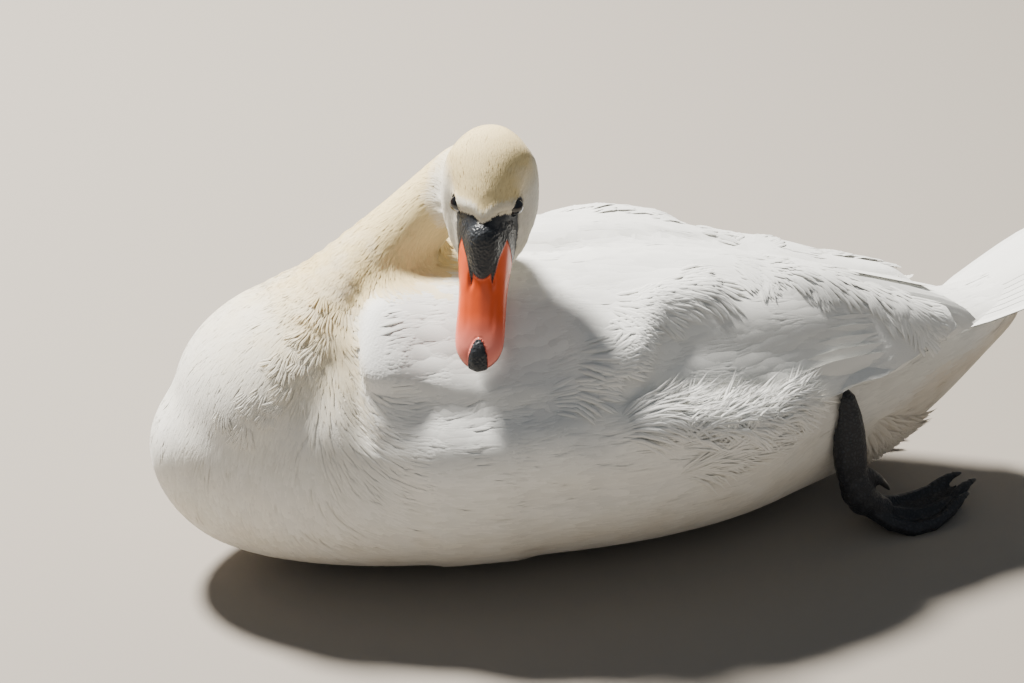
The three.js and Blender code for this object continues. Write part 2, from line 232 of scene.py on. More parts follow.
def shares(points, blur):
    # soft shares of the flesh nodes at each point
    far = np.empty((len(points), len(fleshNodes)))
    for i, node in enumerate(fleshNodes):
        tree = fleshTrees[node]
        far[:, i] = [tree.find_nearest(Vector(p))[3] for p in points]
    weights = np.exp(-(far - far.min(axis=1, keepdims=True)) / blur)
    return weights / weights.sum(axis=1, keepdims=True)


points = vertexArray(skin.data)
edges = edgeArray(skin.data)
share = dict(zip(fleshNodes, shares(points, 4 * mm).T))
say("skin divided into regions")

# smoothing, then shrinking back by the puff and by the depth of the coat, here in millimetres
coatDepth = dict(trunk=3.0, neck_lower=2.6, neck_upper=2.2, head=1.3, wing_left=2.6, wing_right=2.6, tail=1.6)
points = spread(points, edges, skinSettings["rounds"])
setVertices(skin.data, points)
normals = unit(spread(normalArray(skin.data), edges, 4))
depth = sum(coatDepth[node] * share[node] for node in fleshNodes) * mm
local = toHead(points) / mm
bare = ramp(local[:, 0], 16, 30) * (np.abs(local[:, 1]) < 34)  # the naked skin at the bill's base
depth = depth * (1 - bare) + 0.6 * mm * bare
points = points - normals * (skinSettings["puff"] + depth)[:, None]
points = spread(points, edges, 4)
# the stiff feathers of the wing tips are modelled on their own, so the skin is rounded off there
tips = (share["wing_left"] + share["wing_right"]) * ramp(points[:, 0], *skinSettings["wingEnds"])
points = points + (spread(points, edges, 30) - points) * tips[:, None]

# the middle of the neck, from the head to the breast and on under it
neckLine = [
    (-0.144, -0.024, 0.332),
    (-0.166, 0.008, 0.301),
    (-0.194, 0.008, 0.274),
    (-0.226, 0.004, 0.246),
    (-0.254, 0, 0.215),
    (-0.276, 0, 0.188),
    (-0.297, 0, 0.154),
    (-0.309, 0, 0.118),
    (-0.307, 0, 0.076),
    (-0.296, 0, 0.040),
    (-0.270, 0, 0.010),
]

# folds of the plumage


def mirroredLine(line):
    return [(x, -y, z) for x, y, z in line]


def smoothLine(line, steps=12):
    # a smooth run of points through the given ones
    line = np.array(line, float)
    ends = np.vstack([2 * line[0] - line[1], line, 2 * line[-1] - line[-2]])
    run = []
    for i in range(1, len(ends) - 2):
        a, b, c, d = ends[i - 1 : i + 3]
        for t in np.linspace(0, 1, steps, endpoint=False):
            second, third = 2 * a - 5 * b + 4 * c - d, 3 * b - a - 3 * c + d
            run.append(0.5 * (2 * b + (c - a) * t + second * t**2 + third * t**3))
    return np.array(run + [line[-1]])


def nearLine(points, line):
    # distance to a run of points, the offset from its nearest one, and that one's share of the way along
    best = np.full(len(points), np.inf)
    index = np.zeros(len(points), int)
    for i, spot in enumerate(line):
        far = np.linalg.norm(points - spot, axis=1)
        closer = far < best
        best[closer], index[closer] = far[closer], i
    return best, points - line[index], index / (len(line) - 1)


# each fold runs along a line on the left side and on its mirror image. depth and width are in millimetres,
# and a fold with a depth below 0 stands out
folds = dict(
    shoulder=dict(
        depth=9,
        width=7,
        line=[
            (-0.240, -0.026, 0.254),
            (-0.251, -0.046, 0.241),
            (-0.258, -0.066, 0.224),
            (-0.262, -0.085, 0.198),
            (-0.261, -0.105, 0.170),
            (-0.252, -0.121, 0.145),
        ],
    ),
    wrist=dict(
        depth=-3,
        width=11,
        line=[
            (-0.228, -0.040, 0.252),
            (-0.238, -0.062, 0.236),
            (-0.243, -0.085, 0.212),
            (-0.242, -0.105, 0.182),
            (-0.236, -0.119, 0.155),
        ],
    ),
    wingFront=dict(
        depth=8,
        width=40,
        line=[
            (-0.2350, -0.0920, 0.2100),
            (-0.1970, -0.0980, 0.2095),
            (-0.1580, -0.1020, 0.2075),
            (-0.1210, -0.1060, 0.2065),
            (-0.0850, -0.1070, 0.2080),
        ],
    ),
    wingLedge=dict(
        depth=-9,
        width=33,
        line=[
            (-0.2515, -0.1176, 0.1518),
            (-0.2209, -0.1269, 0.1515),
            (-0.1843, -0.1332, 0.1547),
            (-0.1483, -0.1421, 0.1568),
            (-0.1185, -0.1457, 0.1604),
            (-0.0853, -0.1400, 0.1740),
        ],
    ),
    wingSide=dict(
        depth=9,
        width=31,
        line=[
            (-0.0500, -0.1150, 0.2030),
            (-0.0100, -0.1145, 0.1969),
            (0.0403, -0.1126, 0.1903),
            (0.0827, -0.1067, 0.1814),
            (0.1263, -0.0999, 0.1675),
            (0.1700, -0.0900, 0.1500),
        ],
    ),
    flank=dict(
        depth=-8,
        width=14,
        line=[
            (-0.0887, -0.1496, 0.1582),
            (-0.0450, -0.1510, 0.1600),
            (-0.0107, -0.1499, 0.1554),
            (0.0350, -0.1460, 0.1470),
            (0.0650, -0.1340, 0.1520),
            (0.0850, -0.1250, 0.1600),
        ],
    ),
    flankTop=dict(
        depth=3.5,
        width=12,
        line=[
            (-0.0853, -0.1371, 0.1807),
            (-0.0546, -0.1381, 0.1828),
            (-0.0070, -0.1362, 0.1801),
            (0.0425, -0.1309, 0.1702),
            (0.0773, -0.1232, 0.1672),
        ],
    ),
    scapulars=dict(
        depth=-6.5,
        width=18,
        line=[
            (-0.085, -0.1342, 0.1875),
            (-0.046, -0.1084, 0.2154),
            (-0.022, -0.0812, 0.2323),
            (0.012, -0.0721, 0.2317),
            (0.042, -0.0668, 0.2294),
        ],
    ),
    coverts=dict(
        depth=-6,
        width=17,
        line=[
            (0.067, -0.0516, 0.2315),
            (0.100, -0.0515, 0.2228),
            (0.148, -0.0588, 0.2027),
            (0.189, -0.0620, 0.1857),
            (0.213, -0.0650, 0.1751),
            (0.235, -0.0658, 0.1638),
        ],
    ),
)
# the valley where the left wing overlaps the right one
parting = dict(
    depth=6,
    width=9,
    line=[
        (-0.0747, 0.0123, 0.2518),
        (-0.0423, 0.0130, 0.2508),
        (-0.0097, 0.0134, 0.2473),
        (0.0251, 0.0196, 0.2383),
        (0.0595, 0.0230, 0.2270),
        (0.0801, 0.0219, 0.2205),
        (0.1084, 0.0183, 0.2098),
    ],
)


def foldIn(points, normals, line, depth, width):
    far, _, along = nearLine(points, smoothLine(line))
    ends = ramp(along, 0, 0.22) * ramp(along, 1, 0.8)
    return points - normals * (depth * mm * ends * np.exp(-((far / (width * mm)) ** 2)))[:, None]


setVertices(skin.data, points)
normals = unit(spread(normalArray(skin.data), edges, 2))
flat = points
for fold in folds.values():
    for line in (fold["line"], mirroredLine(fold["line"])):
        points = points + foldIn(flat, normals, line, fold["depth"], fold["width"]) - flat
points = foldIn(points, normals, **parting)
points = spread(points, edges, 1)

# shallow wrinkles across the foot of the neck, which start and end at these shares of its length
wrinkles = dict(depth=0.7 * mm, turns=240, start=(0.22, 0.30), end=(0.52, 0.42))
_, _, alongNeck = nearLine(points, smoothLine(neckLine, 30))
across = np.sin(
    alongNeck * wrinkles["turns"] + 1.5 * np.sin(points[:, 1] * 90) + 1.2 * np.sin(points[:, 2] * 70)
)
ends = ramp(alongNeck, *wrinkles["start"]) * ramp(alongNeck, *wrinkles["end"])
across *= ends * (share["neck_lower"] + share["neck_upper"])
points = points + normals * (wrinkles["depth"] * across)[:, None]

# the head's relief in millimetres: the forehead over the lores, the lores, the lids and the eyes' sockets
headRelief = dict(forehead=1.3, lores=1.3, lids=1.1, sockets=2.2, eyeAside=20.5)
eyeSpot = np.array([headSettings["eyeAhead"], headRelief["eyeAside"] * mm, headSettings["eyeAbove"]]) / mm


def browEdge(y):
    # how far forward the forehead's feathers reach, in millimetres along the bill
    return 25 - 0.017 * y**2 + 6 * np.exp(-((y / 5) ** 2))


def sideways(local):
    return np.stack([local[:, 0], np.abs(local[:, 1]), local[:, 2]], 1)


def nakedSkin(local):
    # share of bare skin: the lores, from the bill back to the eye, and the lids
    x, y, z = local.T
    lores = ramp(x - browEdge(y), -0.5, 0.5) * ramp(z - (3 - 0.64 * (x - 14)), -0.6, 0.6)
    lids = ramp(np.linalg.norm(sideways(local) - eyeSpot, axis=1), 9.0, 8.2)
    return np.maximum(lores, lids) * (x < 90) * (np.abs(y) < 40)


setVertices(skin.data, points)
normals = unit(spread(normalArray(skin.data), edges, 2))
local = toHead(points) / mm
x, y, z = local.T
onHead = (np.linalg.norm(local - np.array([20, 0, 0]), axis=1) < 60) * (z > -14)
overEdge = x - browEdge(y)
eyeFar = np.linalg.norm(sideways(local) - eyeSpot, axis=1)
rise = headRelief["forehead"] * np.exp(-(((overEdge + 4) / 4.5) ** 2)) * ramp(z, 2, 10)
rise -= headRelief["lores"] * np.exp(-(((overEdge - 1.6) / 2.2) ** 2)) * ramp(z, 2, 8)
rise += headRelief["lids"] * np.exp(-(((eyeFar - 7.9) / 1.0) ** 2))
rise -= headRelief["sockets"] * ramp(eyeFar, 7.0, 4.0)
points = points + normals * (rise * onHead * mm)[:, None]
setVertices(skin.data, points)
bareSkin = nakedSkin(toHead(points) / mm) * ramp(share["head"], 0.2, 0.4)
say("skin folded")

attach(skin, "root")
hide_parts(*fleshNodes)

# the lie of the coat: which way the feathers point at each place

neckPath = smoothLine(neckLine)
tailRise = math.radians(24)
# along the body, the lie turns to the neck's at the breast and to the tail's at the rear
lieSettings = dict(
    breast=(-0.19, -0.36),
    rear=(0.12, 0.26),
    pastTip=(0.12, 0, 0.03),  # a wing's feathers aim at this place from its tip
)


def wingTip(node):
    points = vertexArray(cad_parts[node].data)
    return points[points[:, 0].argmax()]


def lieOfCoat(points, normals, share):
    back = np.zeros_like(points)
    back[:, 0] = 1
    _, _, along = nearLine(points, neckPath)
    tangents = unit(np.gradient(neckPath, axis=0))
    neckward = tangents[np.round(along * (len(neckPath) - 1)).astype(int)]
    tailward = np.tile(np.array([math.cos(tailRise), 0, math.sin(tailRise)]), (len(points), 1))
    headward = np.tile(-billAxis, (len(points), 1))
    front = ramp(points[:, 0], *lieSettings["breast"])
    trunkward = unit(back * (1 - front)[:, None] + neckward * front[:, None])
    rear = ramp(points[:, 0], *lieSettings["rear"])
    trunkward = unit(trunkward * (1 - rear)[:, None] + tailward * rear[:, None])
    lie = np.zeros_like(points)
    lie += trunkward * share["trunk"][:, None]
    lie += neckward * (share["neck_lower"] + share["neck_upper"])[:, None]
    lie += headward * share["head"][:, None]
    lie += tailward * share["tail"][:, None]
    for node in ("wing_left", "wing_right"):
        ahead = unit(wingTip(node) + np.array(lieSettings["pastTip"]) - points)
        lie += unit(0.5 * ahead + 0.5 * back) * share[node][:, None]
    lie = unit(lie)
    # where a wing's skin faces along the lie or against it, as at its tip, nothing is rooted
    facing = np.sum(lie * normals, axis=1, keepdims=True)
    blunt = np.abs(facing[:, 0]) * (share["wing_left"] + share["wing_right"] + share["tail"])
    return unit(lie - normals * facing), blunt


normals = unit(spread(normalArray(skin.data), edges, 3))
lie, bluntness = lieOfCoat(points, normals, share)
for _ in range(6):
    lie = spread(lie, edges, 6)
    lie -= normals * np.sum(lie * normals, axis=1, keepdims=True)
    lie = unit(lie)
say("lie of the coat")

# an unwrap of the skin for the coat's bake map


def unwrapSkin(thing):
    bpy.context.view_layer.objects.active = thing
    thing.select_set(True)
    bpy.ops.object.mode_set(mode="EDIT")
    bpy.ops.mesh.select_all(action="SELECT")
    bpy.ops.uv.smart_project(angle_limit=math.radians(66), island_margin=0.004)
    bpy.ops.object.mode_set(mode="OBJECT")
    thing.select_set(False)
    thing.data.uv_layers[0].name = "OFBake"


unwrapSkin(skin)
skinMesh = skin.data
faceCount = len(skinMesh.polygons)
loopStart = np.empty(faceCount, np.int32)
loopTotal = np.empty(faceCount, np.int32)
skinMesh.polygons.foreach_get("loop_start", loopStart)
skinMesh.polygons.foreach_get("loop_total", loopTotal)
loopVertex = np.empty(len(skinMesh.loops), np.int32)
skinMesh.loops.foreach_get("vertex_index", loopVertex)
loopUV = np.empty(len(skinMesh.loops) * 2, np.float32)
skinMesh.uv_layers["OFBake"].data.foreach_get("uv", loopUV)
loopUV = loopUV.reshape(-1, 2)
faceArea = np.empty(faceCount, np.float32)
skinMesh.polygons.foreach_get("area", faceArea)


def faceMean(loopValues):
    return np.add.reduceat(loopValues, loopStart, axis=0) / loopTotal[:, None]


faceUV = faceMean(loopUV)
faceSpot = faceMean(points[loopVertex])
faceNormal = unit(faceMean(normals[loopVertex]))
faceLie = unit(faceMean(lie[loopVertex]))
faceShare = {node: faceMean(share[node][loopVertex][:, None])[:, 0] for node in fleshNodes}
skinFaces = [loopVertex[a : a + n].tolist() for a, n in zip(loopStart, loopTotal)]
skinTree = BVHTree.FromPolygons(points.tolist(), skinFaces)
say("skin unwrapped")


def onSkin(places):
    # nearest point of the skin, and its face, for each place
    found = [skinTree.find_nearest(place) for place in places.tolist()]
    return np.array([f[0] for f in found]), np.array([f[2] for f in found])


# materials


class Look:
    # a material with its principled shader, and short ways to add and join nodes
    def __init__(self, name, **fixed):
        self.material = bpy.data.materials.new(name)
        self.material.use_nodes = True
        self.tree = self.material.node_tree
        self.shader = self.tree.nodes["Principled BSDF"]
        for socket, value in fixed.items():
            self.shader.inputs[socket.replace("_", " ")].default_value = value

    def node(self, kind, **inputs):
        node = self.tree.nodes.new(kind)
        for socket, value in inputs.items():
            self.feed(node, socket, value)
        return node

    def feed(self, node, socket, value):
        place = node.inputs[socket.replace("_", " ")] if isinstance(socket, str) else node.inputs[socket]
        if isinstance(value, bpy.types.NodeSocket):
            self.tree.links.new(value, place)
        else:
            place.default_value = value

    def group(self, tree, **inputs):
        node = self.tree.nodes.new("ShaderNodeGroup")
        node.node_tree = tree
        for socket, value in inputs.items():
            self.feed(node, socket, value)
        return node

    def attribute(self, name):
        node = self.tree.nodes.new("ShaderNodeAttribute")
        node.attribute_name = name
        return node

    def bump(self, height, strength, distance):
        bump = self.node("ShaderNodeBump", Strength=strength, Distance=distance, Height=height)
        self.tree.links.new(bump.outputs["Normal"], self.shader.inputs["Normal"])


def newGroup(name, takes, gives):
    tree = bpy.data.node_groups.new(name, "ShaderNodeTree")
    for socket, kind, value in takes:
        made = tree.interface.new_socket(socket, in_out="INPUT", socket_type=kind)
        made.default_value = value
    for socket, kind in gives:
        tree.interface.new_socket(socket, in_out="OUTPUT", socket_type=kind)
    start = tree.nodes.new("NodeGroupInput")
    end = tree.nodes.new("NodeGroupOutput")
    return tree, start, end


def mixColour(tree, share, first, second, blend="MIX"):
    mix = tree.nodes.new("ShaderNodeMix")
    mix.data_type = "RGBA"
    mix.blend_type = blend
    for socket, value in ((0, share), (6, first), (7, second)):
        if isinstance(value, bpy.types.NodeSocket):
            tree.links.new(value, mix.inputs[socket])
        else:
            mix.inputs[socket].default_value = value
    return mix.outputs[2]


def mathNode(tree, operation, *values, clamp=False):
    node = tree.nodes.new("ShaderNodeMath")
    node.operation = operation
    node.use_clamp = clamp
    for i, value in enumerate(values):
        if isinstance(value, bpy.types.NodeSocket):
            tree.links.new(value, node.inputs[i])
        else:
            node.inputs[i].default_value = value
    return node.outputs[0]


def noiseNode(tree, scale, detail=3.0, stretch=(1, 1, 1), roughness=0.5):
    spots = tree.nodes.new("ShaderNodeTexCoord")
    place = tree.nodes.new("ShaderNodeMapping")
    place.inputs["Scale"].default_value = stretch
    tree.links.new(spots.outputs["Object"], place.inputs["Vector"])
    noise = tree.nodes.new("ShaderNodeTexNoise")
    noise.inputs["Scale"].default_value = scale
    noise.inputs["Detail"].default_value = detail
    noise.inputs["Roughness"].default_value = roughness
    tree.links.new(place.outputs["Vector"], noise.inputs["Vector"])
    return noise.outputs[0]


def cellNode(tree, scale, feature):
    # distances in a pattern of cells
    spots = tree.nodes.new("ShaderNodeTexCoord")
    cells = tree.nodes.new("ShaderNodeTexVoronoi")
    cells.feature = feature
    cells.inputs["Scale"].default_value = scale
    tree.links.new(spots.outputs["Object"], cells.inputs["Vector"])
    return cells.outputs["Distance"]


# colours of the plumage, of its staining and of painted reflection from the floor: the wash attribute holds
# the shares of cream, ochre and brown
plumageColours = dict(
    white=(0.90, 0.895, 0.87, 1),
    cream=(0.90, 0.72, 0.38, 1),
    # ochre: painted reflection of the floor's warm light, on the shaded underside of the rear
    ochre=(0.62, 0.43, 0.22, 1),
    brownBelow=(0.42, 0.34, 0.25, 1),
)


def makePlumageGroup():
    tree, start, end = newGroup(
        "plumage_stain_and_painted_light",
        [
            ("Wash", "NodeSocketVector", (0, 0, 0)),
            ("Tint", "NodeSocketFloat", 0.5),
            ("Along", "NodeSocketFloat", 0.5),
            ("Shade", "NodeSocketFloat", 0.2),
            ("Across", "NodeSocketFloat", 0.0),
            ("Barbs", "NodeSocketFloat", 0.0),
        ],
        [("Color", "NodeSocketColor"), ("Roughness", "NodeSocketFloat"), ("Height", "NodeSocketFloat")],
    )
    parts = tree.nodes.new("ShaderNodeSeparateXYZ")
    tree.links.new(start.outputs["Wash"], parts.inputs[0])
    patches = noiseNode(tree, 38, 4)
    fine = noiseNode(tree, 700, 2)
    colour = plumageColours["white"]
    for i, name in enumerate(("cream", "ochre", "brownBelow")):
        uneven = mathNode(tree, "ADD", mathNode(tree, "MULTIPLY", patches, 1.3), 0.35)
        amount = mathNode(tree, "MULTIPLY", parts.outputs[i], uneven, clamp=True)
        colour = mixColour(tree, amount, colour, plumageColours[name])
    # each tuft a little lighter or darker at random, and painted shade darkens it towards its root, where it
    # lies under the others
    dull = mathNode(tree, "SUBTRACT", 1.0, start.outputs["Tint"])
    darker = mathNode(tree, "MULTIPLY", dull, start.outputs["Shade"])
    root = mathNode(tree, "MULTIPLY", mathNode(tree, "SUBTRACT", 1.0, start.outputs["Along"]), 0.10)
    value = mathNode(tree, "SUBTRACT", 1.0, mathNode(tree, "ADD", darker, root))
    grey = tree.nodes.new("ShaderNodeCombineColor")
    for channel, lift in enumerate((0.0, 0.0, -0.015)):
        tree.links.new(mathNode(tree, "ADD", value, lift), grey.inputs[channel])
    colour = mixColour(tree, 1.0, colour, grey.outputs[0], "MULTIPLY")
    tree.links.new(colour, end.inputs["Color"])
    rough = mathNode(tree, "ADD", mathNode(tree, "MULTIPLY", fine, 0.2), 0.62)
    tree.links.new(rough, end.inputs["Roughness"])
    # barbs that run out from the shaft at a slant, and the shaft itself
    out = mathNode(tree, "ABSOLUTE", start.outputs["Across"])
    leaning = mathNode(tree, "MULTIPLY", out, 130.0)
    slant = mathNode(tree, "SUBTRACT", mathNode(tree, "MULTIPLY", start.outputs["Along"], 1300.0), leaning)
    barbs = mathNode(tree, "MULTIPLY", mathNode(tree, "SINE", slant), start.outputs["Barbs"])
    shaft = mathNode(tree, "MULTIPLY", mathNode(tree, "LESS_THAN", out, 0.04), start.outputs["Barbs"])
    height = mathNode(tree, "ADD", fine, mathNode(tree, "ADD", barbs, mathNode(tree, "MULTIPLY", shaft, 6.0)))
    tree.links.new(height, end.inputs["Height"])
    return tree


plumageGroup = makePlumageGroup()


def plumageLook(name, shade, bump, barbs=0.0):
    look = Look(name, Sheen_Weight=0.15, Sheen_Roughness=0.4, Specular_IOR_Level=0.25)
    wash = look.attribute("wash")
    vane = look.attribute("vane")
    parts = look.node("ShaderNodeSeparateXYZ", Vector=vane.outputs["Vector"])
    stainAndPaintedLight = look.group(
        plumageGroup,
        Wash=wash.outputs["Vector"],
        Tint=parts.outputs[2],
        Along=parts.outputs[1],
        Across=parts.outputs[0],
        Shade=shade,
        Barbs=barbs,
    )
    look.feed(look.shader, "Base Color", stainAndPaintedLight.outputs["Color"])
    look.feed(look.shader, "Roughness", stainAndPaintedLight.outputs["Roughness"])
    look.bump(stainAndPaintedLight.outputs["Height"], 0.3, bump)
    return look.material


featherLook = plumageLook("white_feathers", 0.10, 0.0002)

# the staining of the plumage, and painted reflection from the floor under the body


# how strong each share is: cream stained down the neck and on the head; cream on the lower body and ochre at
# the vent, both painted reflection of warm floor light in the shade; and brown towards the floor
stainsAndPaintedBounce = dict(
    neck=0.85,
    breast=0.3,
    crown=0.62,
    crownSpot=0.55,
    cheeks=0.26,
    nape=0.42,
    # cream painted on the lower body as reflection of warm floor light
    belly=0.16,
    # ochre painted at the vent as reflection of warm floor light
    vent=0.34,
    brownBelow=0.42,
)


def washOf(points):
    # cream, ochre and brown at each place: neck and crown stained creamy, the vent's ochre and the lower
    # body's cream painted reflection of the floor's warm light in the shade, and browner towards the floor
    local = toHead(points) / mm
    far, _, along = nearLine(points, neckPath)
    onNeck = ramp(far, 0.16, 0.06)
    onHead = ramp(np.linalg.norm(local, axis=1), 62, 44)
    cream = onNeck * (stainsAndPaintedBounce["neck"] * ramp(along, 0.62, 0.2) + stainsAndPaintedBounce["breast"] * ramp(along, 0.95, 0.35))
    crown = np.exp(-(((local[:, 0] - 9) / 15) ** 2 + ((local[:, 1] + 4) / 17) ** 2))
    crown = ramp(local[:, 2], 0, 20) * (stainsAndPaintedBounce["crown"] + stainsAndPaintedBounce["crownSpot"] * crown)
    crown *= 1 - 0.8 * ramp(local[:, 0] - browEdge(local[:, 1]), -7, -1.5)  # whiter at the edge by the bill
    cheeks = stainsAndPaintedBounce["cheeks"] + stainsAndPaintedBounce["nape"] * ramp(local[:, 0], 5, -30)
    cream = cream * (1 - onHead) + (cheeks + crown) * onHead
    wings = ramp(points[:, 2], 0.13, 0.17) * ramp(points[:, 0], -0.262, -0.25)
    cream = cream * (1 - wings * (1 - onHead) * ramp(far, 0.03, 0.06))
    # painted reflection: ochre on the shaded underside of the rear, under the tail, for warm light thrown up
    # from the floor
    under = points[:, 2] - (0.118 + 0.445 * (points[:, 0] - 0.2137))  # above the tail's lower side
    ochre = stainsAndPaintedBounce["vent"] * ramp(points[:, 0], 0.10, 0.20) * ramp(under, 0.004, -0.02)
    ochre *= 0.4 + 0.6 * ramp(points[:, 2], 0.05, 0.12)
    # painted reflection: cream on the lower body, more towards the floor, for warm light thrown up from the
    # floor
    cream = cream + stainsAndPaintedBounce["belly"] * ramp(points[:, 2], 0.17, 0.06) * (1 - onHead)
    # browner towards the floor
    brownBelow = stainsAndPaintedBounce["brownBelow"] * ramp(points[:, 2], 0.12, 0.015)
    return np.stack([cream, ochre, brownBelow], 1)


def paintPoints(mesh, name, values):
    layer = mesh.attributes.new(name, "FLOAT_VECTOR", "POINT")
    layer.data.foreach_set("vector", values.astype(np.float32).ravel())


paintPoints(skinMesh, "wash", washOf(points))
paintPoints(skinMesh, "vane", np.stack([bareSkin, np.full(len(points), 0.6), np.full(len(points), 0.5)], 1))


def skinLook(name):
    # the down under the feathers, and the black bare skin about the bill and eyes
    look = Look(name, Specular_IOR_Level=0.35)
    tree = look.tree
    vane = look.node("ShaderNodeSeparateXYZ", Vector=look.attribute("vane").outputs["Vector"])
    stainAndPaintedLight = look.group(
        plumageGroup,
        Wash=look.attribute("wash").outputs["Vector"],
        Tint=vane.outputs[2],
        Along=vane.outputs[1],
        Shade=0.1,
    )
    grain = noiseNode(tree, 650, 3)
    black = mixColour(tree, grain, (0.012, 0.014, 0.018, 1), (0.045, 0.05, 0.06, 1))
    look.feed(look.shader, "Base Color", mixColour(tree, vane.outputs[0], stainAndPaintedLight.outputs["Color"], black))
    wet = mathNode(tree, "MULTIPLY", vane.outputs[0], 0.22)
    look.feed(look.shader, "Roughness", mathNode(tree, "SUBTRACT", stainAndPaintedLight.outputs["Roughness"], wet))
    look.bump(mathNode(tree, "ADD", stainAndPaintedLight.outputs["Height"], grain), 0.4, 0.0004)
    return look.material


skinMesh.materials.append(skinLook("down_and_bare_skin"))

# feathers


def turned(directions, normals, angle):
    # directions turned about the normals
    angle = np.broadcast_to(np.asarray(angle, float), len(directions))[:, None]
    return directions * np.cos(angle) + np.cross(normals, directions) * np.sin(angle)


def scatter(weight, count):
    # faces picked by area and weight, and a place on each of them
    odds = faceArea * weight
    picked = randomness.choice(faceCount, size=count, p=odds / odds.sum())
    corner = loopVertex[loopStart[picked][:, None] + np.arange(4)[None, :] % loopTotal[picked][:, None]]
    u, v = randomness.random((2, count))
    weights = np.stack([(1 - u) * (1 - v), u * (1 - v), u * v, (1 - u) * v], 1)
    return np.einsum("nk,nkd->nd", weights, points[corner]), picked


def coatMesh(name, corners, normals, template, uv, vane, wash):
    # one mesh from many like pieces: corners is (pieces, points, 3) and template lists the triangles of one
    pieces, each = corners.shape[:2]
    triangles = (template[None] + (np.arange(pieces) * each)[:, None, None]).reshape(-1, 3)
    mesh = bpy.data.meshes.new(name)
    mesh.vertices.add(pieces * each)
    mesh.vertices.foreach_set("co", corners.astype(np.float32).ravel())
    mesh.loops.add(triangles.size)
    mesh.loops.foreach_set("vertex_index", triangles.astype(np.int32).ravel())
    mesh.polygons.add(len(triangles))
    mesh.polygons.foreach_set("loop_start", np.arange(0, triangles.size, 3, dtype=np.int32))
    mesh.update(calc_edges=True)
    bake = mesh.uv_layers.new(name="OFBake")
    bake.data.foreach_set("uv", uv.reshape(-1, 2)[triangles.ravel()].astype(np.float32).ravel())
    paintPoints(mesh, "vane", vane)
    paintPoints(mesh, "wash", np.repeat(wash, each, axis=0))
    mesh.shade_smooth()
    # soft shading on the outer faces, and the true one wherever a face turns away from it
    spots = corners.reshape(-1, 3)[triangles]
    facing = unit(np.cross(spots[:, 1] - spots[:, 0], spots[:, 2] - spots[:, 0]))[:, None]
    soft = unit(normals).reshape(-1, 3)[triangles]
    agree = np.sum(soft * facing, axis=2, keepdims=True)
    soft = np.where(agree > 0.15, soft, facing)
    mesh.normals_split_custom_set(soft.reshape(-1, 3).tolist())
    return mesh


def featherTemplate(across, rows):
    # triangles of a thin closed feather: rows of points round it, and a tip
    triangles = [(0, i, i + 1) for i in range(1, across - 1)]
    for k in range(rows - 1):
        a, b = across * k, across * (k + 1)
        for i in range(across):
            j = (i + 1) % across
            triangles += [(a + i, b + i, b + j), (a + i, b + j, a + j)]
    last, tip = across * (rows - 1), across * rows
    triangles += [(last + i, tip, last + (i + 1) % across) for i in range(across)]
    return np.array(triangles)[:, ::-1]


patch = 0.003  # width of a tuft's patch on the bake map


def flattened(directions, normals):
    return unit(directions - normals * np.sum(directions * normals, axis=1, keepdims=True))


def vanePaint(places, tint):
    # across, along and tint for every point of every feather
    count = len(tint)
    places = np.tile(np.array(places)[None], (count, 1, 1))
    return np.concatenate([places, np.tile(tint[:, None, None], (1, places.shape[1], 1))], axis=2)


# past an edge, where the skin falls away or turns blunt, a feather runs straight on
following = dict(
    fall=(6 * mm, 2 * mm),
    blunt=(0.6, 0.35),
    gap=(5 * mm, 2 * mm),
    shortest=0.6,  # broad vanes that an edge would cut shorter are left out
    overFloor=0.4 * mm,
)


def growFeathers(
    name,
    roots,
    faces,
    direction,
    length,
    width,
    lift,
    profile,
    across=3,
    camber=0.07,
    curl=0.0,
    relief=0.16,
    beyond=0.3,
):
    # thin feathers that follow the skin. profile rows: share of the length, of the width and of the lift
    count = len(roots)
    spot, normal = roots, faceNormal[faces]
    direction = flattened(direction, normal)
    homeUV, wash = faceUV[faces], washOf(roots)
    tint = randomness.random(count)
    sides = np.linspace(1, -1, across)
    rows, shading, uvRows, vaneRows = [], [], [], []
    before = 0
    reach = np.ones(count)
    for along, wide, high in profile:
        if along > before:
            direction = turned(direction, normal, curl * (along - before))
            ahead = spot + direction * (length * reach * (along - before))[:, None]
            onto, faces = onSkin(ahead)
            fall = np.linalg.norm(onto - ahead, axis=1)
            keep = ramp(fall, *following["fall"]) * ramp(blunt[faces], *following["blunt"])
            reach = reach * (beyond + (1 - beyond) * keep)
            keep = keep[:, None]
            spot = ahead + (onto - ahead) * keep
            normal = unit(normal + (faceNormal[faces] - normal) * keep)
            direction = flattened(direction, normal)
            before = along
        side = np.cross(normal, direction)
        middle = spot + normal * (lift * high)[:, None]
        for t in sides if wide > 0 else (0,):
            offset = side * (0.5 * width * wide * t)[:, None]
            rise = normal * (camber * width * wide * (1 - t * t))[:, None]
            if across > 3:  # a broad vane bends round the body
                edge = spot + offset
                gap = onSkin(edge)[0] - edge
                offset = offset + gap * ramp(np.linalg.norm(gap, axis=1), *following["gap"])[:, None]
            rows.append(middle + offset + rise)
            shading.append(normal + side * relief * t + direction * 0.25 * relief * (along - 0.4))
            uvRows.append((0.5 * t * wide, along - 0.5))
            vaneRows.append((t * wide, along))
    corners = np.stack(rows, axis=1)
    corners[..., 2] = np.maximum(corners[..., 2], following["overFloor"])
    uv = homeUV[:, None] + patch * np.array(uvRows)[None]
    vane = vanePaint(vaneRows, tint)
    kept = (reach > following["shortest"]) | (across <= 3)
    template = featherTemplate(across, len(profile) - 1)
    shading = np.stack(shading, 1)[kept]
    return coatMesh(name, corners[kept], shading, template, uv[kept], vane[kept].reshape(-1, 3), wash[kept])


